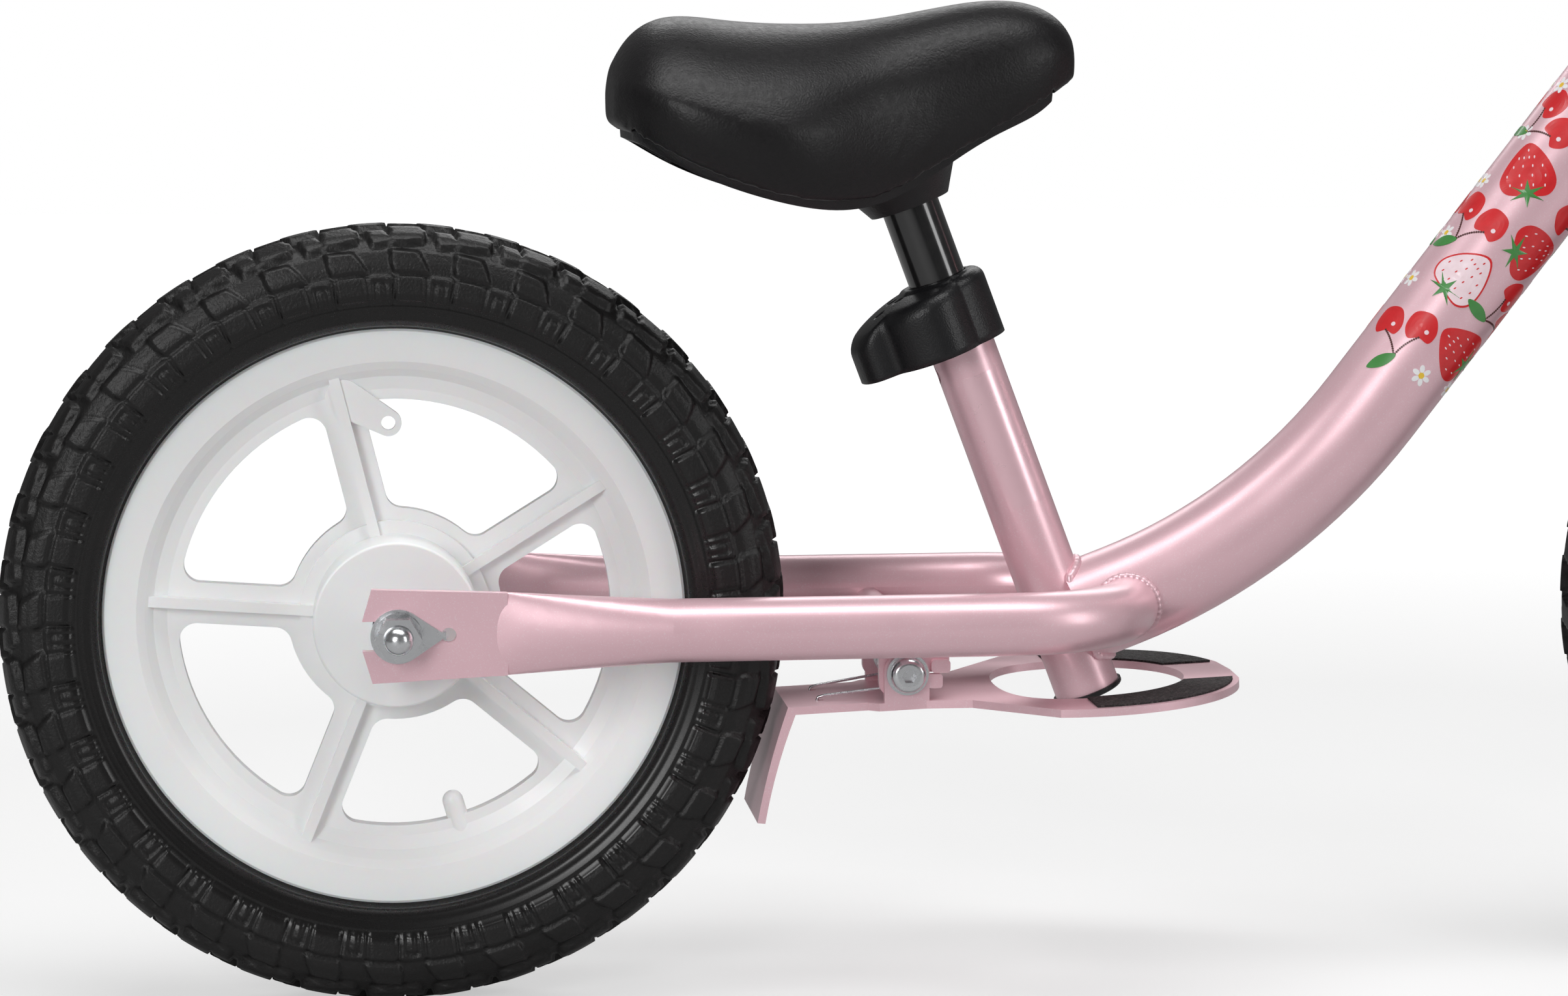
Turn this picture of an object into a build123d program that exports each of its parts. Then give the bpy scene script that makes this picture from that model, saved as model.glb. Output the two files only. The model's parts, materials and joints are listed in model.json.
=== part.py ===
"""A child's balance bike with a foot-operated rear brake, in millimetres.

+X points forward, +Z up, and the bike's mid plane is Y = 0. The origin lies on the ground,
midway between the two axles.
"""
import os
from math import cos, radians, sin, tan

from build123d import *

os.makedirs("parts", exist_ok=True)

# ---- Overall ---------------------------------------------------------------------------------
wheelbase = 608.0
wheel_radius = 148.0
clearance = 0.3            # between pieces that must not touch

# ---- Seat tube and its fittings ----------------------------------------------------------------
seat_foot_x = 267.6        # bottom centre of the seat tube, forward of the rear axle
seat_foot_z = -34.1        # and above it
seat_tilt = 20.6           # degrees back from upright
seat_tube_radius = 12.7
seat_tube_wall = 1.5
seat_tube_length = 168.0
relief_hole_height = 135.0
relief_hole_radius = 3.0
relief_slot_width = 2.4
plug_rim_radius = 13.7
plug_rim_height = 2.2
plug_depth = 12.0

# ---- Main tube and head tube -------------------------------------------------------------------
main_tube_radius = 20.0
main_tube_wall = 2.0
main_tube_height = 29.0    # up the seat tube
main_tube_setback = 5.0    # from the seat tube's axis to the main tube's end
main_tube_lower_run = 88.0
main_tube_bend = 225.0
head_angle = 69.0          # degrees from the ground
fork_rake = 25.0
head_join = 250.0          # up the steering axis, from the foot of the axle's perpendicular
head_tube_radius = 17.0
head_tube_bore = 15.1
head_tube_bottom = 200.0
head_tube_length = 90.0

# ---- Stays -------------------------------------------------------------------------------------
stay_spacing = 114.0       # between the two stays' centre lines
stay_radius = 11.75
stay_wall = 1.8
stay_round_start = 100.0   # where the flattened end has become round again
stay_corner = 269.0
stay_bend = 50.0
stay_turn = 75.0           # degrees that the stay turns inwards
flat_thickness = 4.0       # the tube's two walls pressed together
flat_half_height = 15.6
flat_mid_half_height = 13.6   # halfway along the flattening
flat_start = 36.0
slot_width = 11.0
tab_hole_radius = 2.8
tab_hole_distance = 18.5

# ---- Wheels ------------------------------------------------------------------------------------
rim_radius = 109.3
rim_half_width = 15.3
rim_bed_radius = 104.0
rim_bed_half_width = 11.0
rim_inner_radius = 96.7
web_half_thickness = 3.0
window_outer_radius = 81.8
window_inner_radius = 40.5
window_corner = 6.5
spoke_count = 5
spoke_width = 15.5
spoke_start = 31.8         # degrees up from forward
rib_width = 4.0
rib_half_height = 8.0
hub_radius = 31.0
hub_wall = 3.5
hub_half_width = 32.7
hub_barrel_radius = 17.0
boss_radius = 36.0
ear_radius = 5.0
ear_hole_radius = 2.65
ear_thickness = 4.0
ear_place = (-1.9, 73.0)
ear_root = (-18.5, 82.5)
ear_root_radius = 7.0
peg_radius = 4.0
peg_angle = -74.0
peg_inner = 76.0
tyre_half_width = 24.3
tyre_crown_half_width = 12.0

# ---- Axles and hub fittings --------------------------------------------------------------------
axle_radius = 5.0
axle_fit = 0.05            # radial, where a piece sits on the axle
bearing_radius = 13.0
bearing_width = 8.0
bearing_end = 29.4
inner_race_radius = 7.2
outer_race_radius = 11.2
ball_count = 8
spacer_radius = 8.0
sleeve_radius = 7.0
locknut_flats = 17.0
locknut_height = 6.0
axle_half_length = 70.0
washer_radius = 10.0
washer_thickness = 1.5
nut_flange_radius = 8.9
nut_flange_height = 2.0
nut_flats = 15.0
nut_height = 7.0
dome_radius = 5.6
ball_radius = 2.35
race_groove_radius = 2.4
tab_tip_radius = 1.6
tab_tip_setback = 3.5      # from the tab hole back to the centre of the tab's tip
tab_tooth_setback = 1.5
tab_tooth_width = 3.0
tab_tooth_depth = 2.5

# ---- Fork and headset --------------------------------------------------------------------------
leg_radius = 11.0
leg_wall = 1.8
crown_height = 176.0
crown_bend = 42.0
leg_round_end = 66.0
leg_flat_end = 22.0
leg_mid_half_height = 13.2
steerer_radius = 12.7
steerer_bore = 11.1
cup_radius = 19.0
cup_height = 9.0
cup_skirt = 6.0
race_radius = 15.6
race_flange_radius = 18.4
headset_locknut_height = 7.0
headset_locknut_flats = 32.0
headset_lip_radius = 15.5
headset_gap = 5.0           # between the upper cup and the locknut
cup_floor = 3.0
cup_race_fit = 0.4
cup_bore_fit = 0.9
retainer_height = 3.6
race_step = 2.0

# ---- Stem and handlebar ------------------------------------------------------------------------
quill_radius = 11.0
quill_bottom = 232.0
stem_height = 352.0
stem_reach = 42.0
stem_bolt_radius = 4.0
wedge_length = 17.0
barrel_radius = 16.0
barrel_half_width = 20.0
barrel_lug = 6.5           # from the barrel to its pinch bolt
stem_head_radius = 6.5
stem_head_height = 8.0
stem_head_start = 9.0
bar_radius = 11.1
bar_wall = 1.6
bar_fit = 0.05
bar_half_width = 225.0
bar_rise = 75.0
bar_rise_start = 45.0
bar_rise_end = 100.0
bar_bend = 28.0
bar_lean = 8.0             # degrees that the bar leans back
grip_length = 107.0
grip_radius = 15.5
grip_end_radius = 20.0
grip_end_wall = 6.0

# ---- Seat --------------------------------------------------------------------------------------
post_radius = 11.1
post_wall = 1.6
post_bottom = 45.0         # up the seat tube's axis from its foot
post_top = 226.0
socket_bottom = 200.5
socket_radius = 15.6
socket_top_radius = 22.5
socket_cone = 12.0
saddle_padding = 15.0
saddle_skirt = 6.0         # thickness of the padding at the flanks
saddle_base_wall = 3.0
base_fit = 0.9             # between the padding and the base
saddle_rib_places = (110.0, 135.0, 160.0)   # cross ribs, forward of the rear axle
saddle_rib_centre = 200.0
saddle_rib_height = 60.0
socket_reach = 40.0        # how far the post's socket may stand below the base
# Each saddle section: forward of the rear axle, half width, top, widest height, lower edge.
saddle_sections = (
    (82.5, 24.0, 206.0, 196.0, 186.5),
    (88.0, 42.0, 215.0, 198.0, 182.0),
    (101.0, 55.0, 224.0, 194.0, 175.0),
    (125.0, 60.0, 223.5, 187.0, 164.5),
    (152.0, 56.0, 222.0, 183.0, 157.5),
    (178.0, 42.0, 223.2, 186.0, 157.5),
    (205.0, 31.0, 227.8, 196.0, 170.0),
    (232.0, 25.5, 231.0, 207.0, 185.5),
    (250.0, 19.0, 226.5, 211.0, 196.0),
    (259.0, 9.0, 216.0, 208.5, 201.5),
)

# ---- Seat clamp --------------------------------------------------------------------------------
band_radius = 15.2
band_bottom = 148.5
band_height = 15.0
lug_gap = 3.0
lug_thickness = 5.0
lug_reach = 29.0
pinch_bolt_radius = 3.0
pinch_bolt_place = 21.0
pinch_head_radius = 5.0
pinch_head_height = 6.0
pinch_nut_flats = 10.0
key_radius = 2.5           # of the socket for a 5 mm key
key_depth = 3.0
cover_radius = 17.7
cover_wall = 2.2
cover_bottom = 143.0
cover_top = 170.5

# ---- Foot brake --------------------------------------------------------------------------------
pivot_x = 192.6            # forward of the rear axle
pivot_z = -22.8            # above it
pedal_slope = 2.4          # degrees, nose up
pedal_centre = 262.0       # centre of the ring, forward of the rear axle
pedal_height = -30.8       # top face there
plate = 3.0                # sheet thickness
lever_half_width = 23.7
ear_inner = 24.5           # inner face of the lever's ears, from the mid plane
ear_half_length = 8.6
ring_hole_radius = 43.0
ring_hole_rear = 31.4
pad_thickness = 0.8
pad_inset = 2.5
pad_gap = 19.0             # from the mid plane to the pads' inner edge
bracket_outer = 24.2
bracket_rear = 182.3
bracket_front = 209.3
bracket_lip = 202.0
bracket_top = -6.0
bridge_radius = 6.0
bridge_x = 188.3
bridge_z = -6.0
pivot_bolt_radius = 4.0
pivot_fit = 0.1
pivot_washer_radius = 8.0
pivot_washer_thickness = 1.6
pivot_head_radius = 6.8
pivot_head_height = 4.4
sleeve_outer_radius = 5.5
coil_radius = 6.5
wire_radius = 0.55
coil_inner = 6.0           # near end of each coil from the mid plane
coil_outer = 17.0
leg_place = 11.4           # the spring's legs, from the mid plane
leg_hole_x = 161.2
leg_hole_radius = 1.4
rear_reach = 108.0         # from the ring's centre to the plate's flat rear part
pivot_nut_height = 6.5
pivot_nut_flats = 13.0

# ---- Places worked out from the sizes ------------------------------------------------------------
rear_axle = Vector(-wheelbase / 2, 0, wheel_radius)
front_axle = Vector(wheelbase / 2, 0, wheel_radius)
side = Plane(origin=rear_axle, x_dir=(1, 0, 0), z_dir=(0, -1, 0))

tilt = radians(seat_tilt)
seat = Plane(
    origin=rear_axle + Vector(seat_foot_x, 0, seat_foot_z),
    x_dir=(cos(tilt), 0, sin(tilt)),
    z_dir=(-sin(tilt), 0, cos(tilt)),
)

lean = radians(head_angle)
steer_up = Vector(-cos(lean), 0, sin(lean))
steer_forward = Vector(sin(lean), 0, cos(lean))
steer = Plane(origin=front_axle - steer_forward * fork_rake, x_dir=steer_forward, z_dir=steer_up)
fork_face = Plane(origin=steer.origin, x_dir=(0, 1, 0), z_dir=steer_forward)
fork_side = Plane(origin=steer.origin, x_dir=steer_forward, z_dir=(0, -1, 0))

pivot = rear_axle + Vector(pivot_x, 0, pivot_z)
pivot_plane = Plane(origin=pivot, x_dir=(1, 0, 0), z_dir=(0, -1, 0))
slope = radians(pedal_slope)
pedal = Plane(
    origin=rear_axle + Vector(pedal_centre, 0, pedal_height),
    x_dir=(cos(slope), 0, sin(slope)),
    z_dir=(-sin(slope), 0, cos(slope)),
)

seat_tube_bore = seat_tube_radius - seat_tube_wall
stay_offset = stay_spacing / 2
flat_inner = stay_offset - flat_thickness / 2
flat_outer = stay_offset + flat_thickness / 2
head_tube_top = head_tube_bottom + head_tube_length


def pedal_top(x):
    """Height of the pedal plate's top face, from the rear axle, at a distance forward of it."""
    return pedal_height + (x - pedal_centre) * tan(slope)


def save(part, name):
    part.label = name
    export_step(part, f"parts/{name}.step")


def ring(plane, outer, inner, start, end, mode=Mode.ADD):
    """A plain ring or disc about a plane's normal, between two distances along it."""
    with BuildSketch(plane.offset(start)) as section:
        Circle(outer)
        if inner:
            Circle(inner, mode=Mode.SUBTRACT)
    extrude(section.sketch, amount=end - start, mode=mode)


def hexagon(plane, flats, bore, start, end):
    """A hexagon nut's body, with its hole."""
    with BuildSketch(plane.offset(start)) as section:
        RegularPolygon(radius=flats / 2, side_count=6, major_radius=False)
        if bore:
            Circle(bore, mode=Mode.SUBTRACT)
    extrude(section.sketch, amount=end - start)


# ---- Frame tubes ---------------------------------------------------------------------------------
main_start = seat.origin + seat.z_dir * main_tube_height
main_corner = main_start + seat.x_dir * main_tube_lower_run
main_end = steer.origin + steer_up * head_join
main_rear = Plane(origin=main_start, x_dir=(0, 1, 0), z_dir=seat.x_dir)

with BuildPart() as seat_tube:
    ring(seat, seat_tube_radius, seat_tube_bore, 0, seat_tube_length)
    slot_length = seat_tube_length - relief_hole_height
    slot_plane = Plane(
        origin=seat.origin + seat.z_dir * relief_hole_height, x_dir=(0, -1, 0), z_dir=-seat.x_dir
    )
    with BuildSketch(slot_plane) as relief:
        Circle(relief_hole_radius)
        with Locations((0, slot_length / 2)):
            Rectangle(relief_slot_width, slot_length)
    extrude(amount=seat_tube_radius + 1, mode=Mode.SUBTRACT)
save(seat_tube.part, "seat_tube")

with BuildPart() as seat_tube_plug:
    ring(seat, plug_rim_radius, 0, -plug_rim_height, 0)
    ring(seat, seat_tube_bore, seat_tube_bore - 2, 0, plug_depth)
    bottom_edges = seat_tube_plug.edges().sort_by(Axis(seat.origin, seat.z_dir))
    fillet(bottom_edges[0], 1.2)
save(seat_tube_plug.part, "seat_tube_plug")

with BuildPart() as main_tube_core:
    with BuildLine() as main_path:
        FilletPolyline(main_start, main_corner, main_end, radius=main_tube_bend)
    with BuildSketch(main_rear):
        Circle(main_tube_radius)
    sweep()

with BuildPart() as main_tube:
    with BuildLine():
        add(main_path.line)
    with BuildSketch(main_rear):
        Circle(main_tube_radius)
        Circle(main_tube_radius - main_tube_wall, mode=Mode.SUBTRACT)
    sweep()
    tube_bore = main_tube_radius - main_tube_wall
    ring(main_rear, tube_bore, 0, main_tube_setback, main_tube_setback + main_tube_wall)
    ring(main_rear, main_tube_radius + 1, 0, -1, main_tube_setback, mode=Mode.SUBTRACT)
    ring(seat, seat_tube_radius, 0, -seat_tube_length, seat_tube_length, mode=Mode.SUBTRACT)
    ring(steer, head_tube_radius, 0, head_tube_bottom, head_tube_top, mode=Mode.SUBTRACT)
save(main_tube.part, "main_tube")

with BuildPart() as head_tube:
    ring(steer, head_tube_radius, head_tube_bore, head_tube_bottom, head_tube_top)
save(head_tube.part, "head_tube")


def flattened_end(start, length, round_radius, mid_height, flat_height):
    """A round tube pressed flat: a loft from its round section to its flat one."""
    with BuildPart() as end:
        with BuildSketch(start):
            Circle(round_radius)
        with BuildSketch(start.offset(length / 2)):
            Ellipse(round_radius * 0.68, mid_height)
        with BuildSketch(start.offset(length)):
            Ellipse(flat_thickness / 2, flat_height)
        loft()
    return end.part


turn = radians(stay_turn)
stay_end_depth = 10.0      # how near the mid plane the stay's path ends, inside the main tube
stay_end_x = stay_corner + (stay_offset - stay_end_depth) / tan(turn)
stay_round = Plane(
    origin=rear_axle + Vector(stay_round_start, -stay_offset, 0), x_dir=(0, 1, 0), z_dir=(-1, 0, 0)
)
stay_flattening = flattened_end(
    stay_round, stay_round_start - flat_start, stay_radius, flat_mid_half_height, flat_half_height
)
flat_plate_outline = (
    (flat_start + 4, 15.2),
    (-9.4, 17.2),
    (-12.9, slot_width / 2),
    (-12.9, -slot_width / 2),
    (-9.4, -17.4),
    (flat_start + 4, -15.2),
)

with BuildPart() as right_stay:
    with BuildLine():
        FilletPolyline(
            rear_axle + Vector(stay_round_start, -stay_offset, 0),
            rear_axle + Vector(stay_corner, -stay_offset, 0),
            rear_axle + Vector(stay_end_x, -stay_end_depth, 0),
            radius=stay_bend,
        )
    with BuildSketch(stay_round):
        Circle(stay_radius)
        Circle(stay_radius - stay_wall, mode=Mode.SUBTRACT)
    sweep()
    add(stay_flattening)
    with BuildSketch(side.offset(flat_inner)):
        with BuildLine():
            Polyline(*flat_plate_outline, close=True)
        make_face()
        with Locations((-wheel_radius / 2, 0)):
            Rectangle(wheel_radius, slot_width, mode=Mode.SUBTRACT)
        with Locations((0, 0)):
            Circle(slot_width / 2, mode=Mode.SUBTRACT)
        with Locations((tab_hole_distance, 0)):
            Circle(tab_hole_radius, mode=Mode.SUBTRACT)
    extrude(amount=flat_thickness)
    add(main_tube_core.part, mode=Mode.SUBTRACT)
save(right_stay.part, "right_stay")

with BuildPart() as left_stay:
    add(right_stay.part.mirror(Plane.XZ))
save(left_stay.part, "left_stay")

# ---- Brake bracket: a bridge tube between the stays and a channel for the lever's pivot ---------
with BuildPart() as brake_bracket:
    with BuildSketch(side):
        with Locations((bridge_x, bridge_z)):
            Circle(bridge_radius)
    extrude(amount=stay_offset, both=True)
    with BuildSketch(side.offset(bracket_outer - plate)):
        with BuildLine():
            Polyline(
                (bracket_rear, bracket_top),
                (bracket_front, bracket_top),
                (bracket_front, pivot_z),
                (pivot_x + ear_half_length, pivot_z),
                (pivot_x + ear_half_length, pivot_z - 9),
                (bracket_rear, pivot_z - 9),
                close=True,
            )
        make_face()
        fillet(vertices().group_by(Axis.Y)[0], 5)
    extrude(amount=plate)
    with BuildSketch(side.offset(bracket_outer)):
        with Locations(((bracket_lip + bracket_front) / 2, pivot_z + 2.5)):
            RectangleRounded(bracket_front - bracket_lip, 5, 1.5)
    extrude(amount=plate)
    mirror(about=Plane.XZ)
    with BuildSketch(side):
        with Locations(((bracket_rear + bracket_front) / 2, bracket_top - plate / 2)):
            Rectangle(bracket_front - bracket_rear, plate)
    extrude(amount=bracket_outer, both=True)
    with BuildSketch(pivot_plane):
        Circle(pivot_bolt_radius + pivot_fit)
    extrude(amount=stay_offset, both=True, mode=Mode.SUBTRACT)
    with BuildSketch(Plane(origin=rear_axle, x_dir=(0, 1, 0), z_dir=(1, 0, 0))):
        with Locations((stay_offset, 0), (-stay_offset, 0)):
            Circle(stay_radius)
    extrude(amount=wheelbase / 2, mode=Mode.SUBTRACT)
save(brake_bracket.part, "brake_bracket")

# ---- Foot brake lever ------------------------------------------------------------------------------
with BuildPart() as brake_lever:
    with BuildSketch(pedal) as plan:
        with BuildLine() as half_outline:
            Polyline((-rear_reach, 0), (-rear_reach, lever_half_width), (-84, lever_half_width),
                     (-80, ear_inner + plate), (-62, ear_inner + plate), (-45, 32), (-17, 63.5))
            shoulder = ThreePointArc((-17, 63.5), (10, 66), (36, 56.5))
            nose = TangentArc((36, 56.5), (61.5, pad_gap), tangent=shoulder % 1)
            Line(nose @ 1, (62.5, 0))
            mirror(about=Plane.XZ)
        make_face()
        with BuildLine() as half_hole:
            front_arc = CenterArc((0, 0), ring_hole_radius, 0, 100)
            Spline(front_arc @ 1, (-ring_hole_rear, 0), tangents=(front_arc % 1, (0, -1)))
            mirror(about=Plane.XZ)
        make_face(mode=Mode.SUBTRACT)
    extrude(amount=-plate)
    with BuildSketch(side):
        with BuildLine():
            top_corner = (147.5, pedal_top(147.5))
            ThreePointArc(top_corner, (140.9, -57.0), (135.8, -80.0))
            Line((135.8, -80.0), (138.8, -80.3))
            ThreePointArc((138.8, -80.3), (144.1, -57.2), (150.4, pedal_top(150.4) - plate))
            Line((150.4, pedal_top(150.4) - plate), (158, pedal_top(158) - plate))
            Line((158, pedal_top(158) - plate), (158, pedal_top(158)))
            Line((158, pedal_top(158)), top_corner)
        make_face()
    extrude(amount=lever_half_width, both=True)
    with BuildSketch(side.offset(ear_inner)):
        ear_foot = pedal_top(pivot_x) - plate / 2
        with Locations((pivot_x, (ear_foot + pivot_z) / 2)):
            Rectangle(2 * ear_half_length, pivot_z - ear_foot)
        with Locations((pivot_x, pivot_z)):
            Circle(ear_half_length)
        with Locations((pivot_x + ear_half_length + 2.3, pivot_z - 3.1)):
            RectangleRounded(5.6, 5.4, 1.2)
    extrude(amount=plate)
    mirror(about=Plane.XZ)
    with BuildSketch(pivot_plane):
        Circle(pivot_bolt_radius + pivot_fit)
    extrude(amount=stay_offset, both=True, mode=Mode.SUBTRACT)
    with BuildSketch(pedal):
        with Locations((leg_hole_x - pedal_centre, leg_place), (leg_hole_x - pedal_centre, -leg_place)):
            Circle(leg_hole_radius)
    extrude(amount=plate * 2, both=True, mode=Mode.SUBTRACT)
save(brake_lever.part, "brake_lever")

plan_face = plan.sketch.faces()[0]
with BuildPart() as pedal_pads:
    with BuildSketch(pedal):
        with BuildLine():
            add(pedal.to_local_coords(plan_face.outer_wire()))
        make_face()
        offset(amount=-pad_inset)
        with BuildLine():
            add(pedal.to_local_coords(plan_face.inner_wires()[0]).offset_2d(1.0))
        make_face(mode=Mode.SUBTRACT)
        with Locations((wheel_radius / 2 - 3, wheel_radius / 2 + pad_gap),
                       (wheel_radius / 2 - 3, -wheel_radius / 2 - pad_gap)):
            Rectangle(wheel_radius, wheel_radius, mode=Mode.INTERSECT)
    extrude(amount=pad_thickness)
save(pedal_pads.part, "pedal_pads")

# ---- Pivot bolt with its washers, nut and sleeve ----------------------------------------------------
washer_face = ear_inner + plate + clearance
head_face = washer_face + pivot_washer_thickness

with BuildPart() as pivot_bolt:
    ring(pivot_plane, pivot_bolt_radius, 0, -head_face - pivot_nut_height - 1.5, head_face)
    ring(pivot_plane, pivot_head_radius, 0, head_face, head_face + pivot_head_height)
    fillet(pivot_bolt.edges().filter_by(GeomType.CIRCLE).sort_by(Axis.Y)[0], 2.6)
    with BuildSketch(pivot_plane.offset(head_face + pivot_head_height)):
        RegularPolygon(radius=key_radius, side_count=6, major_radius=False)
    extrude(amount=-2.6, mode=Mode.SUBTRACT)
save(pivot_bolt.part, "pivot_bolt")

with BuildPart() as pivot_washers:
    ring(pivot_plane, pivot_washer_radius, pivot_bolt_radius + pivot_fit, washer_face, head_face)
    mirror(about=Plane.XZ)
save(pivot_washers.part, "pivot_washers")

with BuildPart() as pivot_nut:
    nut_bore = pivot_bolt_radius + axle_fit
    hexagon(pivot_plane, pivot_nut_flats, nut_bore, -head_face - pivot_nut_height, -head_face)
save(pivot_nut.part, "pivot_nut")

with BuildPart() as pivot_sleeve:
    half = bracket_outer - plate
    ring(pivot_plane, sleeve_outer_radius, pivot_bolt_radius + pivot_fit, -half, half)
save(pivot_sleeve.part, "pivot_sleeve")

# A double torsion spring: two coils on the sleeve, each with a leg hooked into the lever's plate.
leg_top = Vector(pivot_x - 4.5, 0, pivot_z - coil_radius + 0.4)
leg_foot = Vector(leg_hole_x, 0, pedal_top(leg_hole_x) + 1.6)
hook_end = Vector(leg_hole_x, 0, pedal_top(leg_hole_x) - plate - 1.0)
with BuildPart() as brake_spring:
    ring(pivot_plane, coil_radius + wire_radius, coil_radius - wire_radius, coil_inner, coil_outer)
    with BuildLine():
        leg_line = FilletPolyline(
            rear_axle + leg_top + Vector(0, -leg_place, 0),
            rear_axle + leg_foot + Vector(0, -leg_place, 0),
            rear_axle + hook_end + Vector(0, -leg_place, 0),
            radius=1.2,
        )
    with BuildSketch(Plane(origin=leg_line @ 0, z_dir=leg_line % 0)):
        Circle(wire_radius)
    sweep()
    mirror(about=Plane.XZ)
save(brake_spring.part, "brake_spring")

# ---- Seat clamp: a steel band with a pinch bolt under a moulded cover ------------------------------
bolt_plane = Plane(
    origin=seat.origin + seat.z_dir * (band_bottom + band_height / 2) - seat.x_dir * pinch_bolt_place,
    x_dir=seat.x_dir,
    z_dir=(0, -1, 0),
)
lug_outer = lug_gap / 2 + lug_thickness

with BuildPart() as clamp_band:
    ring(seat, band_radius, 0, band_bottom, band_bottom + band_height)
    with BuildSketch(seat.offset(band_bottom)):
        with Locations((-lug_reach / 2, 0)):
            Rectangle(lug_reach, 2 * lug_outer)
    extrude(amount=band_height)
    ring(seat, seat_tube_radius + axle_fit, 0, band_bottom, band_bottom + band_height, mode=Mode.SUBTRACT)
    with BuildSketch(seat.offset(band_bottom)):
        with Locations((-lug_reach / 2 - 2, 0)):
            Rectangle(lug_reach, lug_gap)
    extrude(amount=band_height, mode=Mode.SUBTRACT)
    with BuildSketch(bolt_plane):
        Circle(pinch_bolt_radius + pivot_fit)
    extrude(amount=lug_reach, both=True, mode=Mode.SUBTRACT)
save(clamp_band.part, "clamp_band")

with BuildPart() as clamp_bolt:
    ring(bolt_plane, pinch_bolt_radius, 0, -lug_outer - 6, lug_outer)
    ring(bolt_plane, pinch_head_radius, 0, lug_outer, lug_outer + pinch_head_height)
    with BuildSketch(bolt_plane.offset(lug_outer + pinch_head_height)):
        RegularPolygon(radius=key_radius, side_count=6, major_radius=False)
    extrude(amount=-key_depth, mode=Mode.SUBTRACT)
save(clamp_bolt.part, "clamp_bolt")

with BuildPart() as clamp_nut:
    hexagon(bolt_plane, pinch_nut_flats, pinch_bolt_radius + axle_fit, -lug_outer - 5, -lug_outer)
save(clamp_nut.part, "clamp_nut")


def cover_solid(inset, bottom, top):
    """The clamp cover's outer shape, or its hollow when it is inset by the wall."""
    front = cover_radius - inset
    with BuildPart() as solid:
        with BuildSketch(seat.offset(bottom)):
            Circle(front)
            with BuildLine():
                ThreePointArc((3.0, front - 0.4), (-15.0, 25.5 - inset), (-31.0, 15.0 - inset))
                ThreePointArc((-31.0, 15.0 - inset), (-41.0 + inset, 0), (-31.0, -15.0 + inset))
                ThreePointArc((-31.0, -15.0 + inset), (-15.0, -25.5 + inset), (3.0, -front + 0.4))
                Line((3.0, -front + 0.4), (3.0, front - 0.4))
            make_face()
        extrude(amount=top - bottom)
        # the roof falls away in a curve towards the back
        roof = Plane(origin=seat.origin, x_dir=seat.x_dir, z_dir=(0, -1, 0))
        with BuildSketch(roof):
            with BuildLine():
                ThreePointArc((-8.0, top), (-29.0, top - 3.6), (-46.0, top - 12.5))
                Line((-46.0, top - 12.5), (-46.0, top + 5))
                Line((-46.0, top + 5), (-8.0, top + 5))
                Line((-8.0, top + 5), (-8.0, top))
            make_face()
        extrude(amount=wheel_radius, both=True, mode=Mode.SUBTRACT)
    return solid.part


cover_outer = cover_solid(0, cover_bottom, cover_top)
cover_hollow = cover_solid(cover_wall, cover_bottom - 1, cover_top - cover_wall)
with BuildPart() as clamp_cover:
    add(cover_outer)
    add(cover_hollow, mode=Mode.SUBTRACT)
    ring(seat, post_radius + clearance, 0, cover_top - 10, cover_top + 5, mode=Mode.SUBTRACT)
    with BuildSketch(seat.offset(cover_top + 1)):
        with Locations((-17.5, -6.5), (-19.5, -1.5), (-19.5, 4.0), (-17.0, 9.5), (-26.0, -5.0)):
            SlotOverall(3.6, 1.8)
    extrude(amount=-16, mode=Mode.SUBTRACT)
save(clamp_cover.part, "clamp_cover")

# ---- Wheels ------------------------------------------------------------------------------------------
cap_face = hub_half_width - plate


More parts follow.
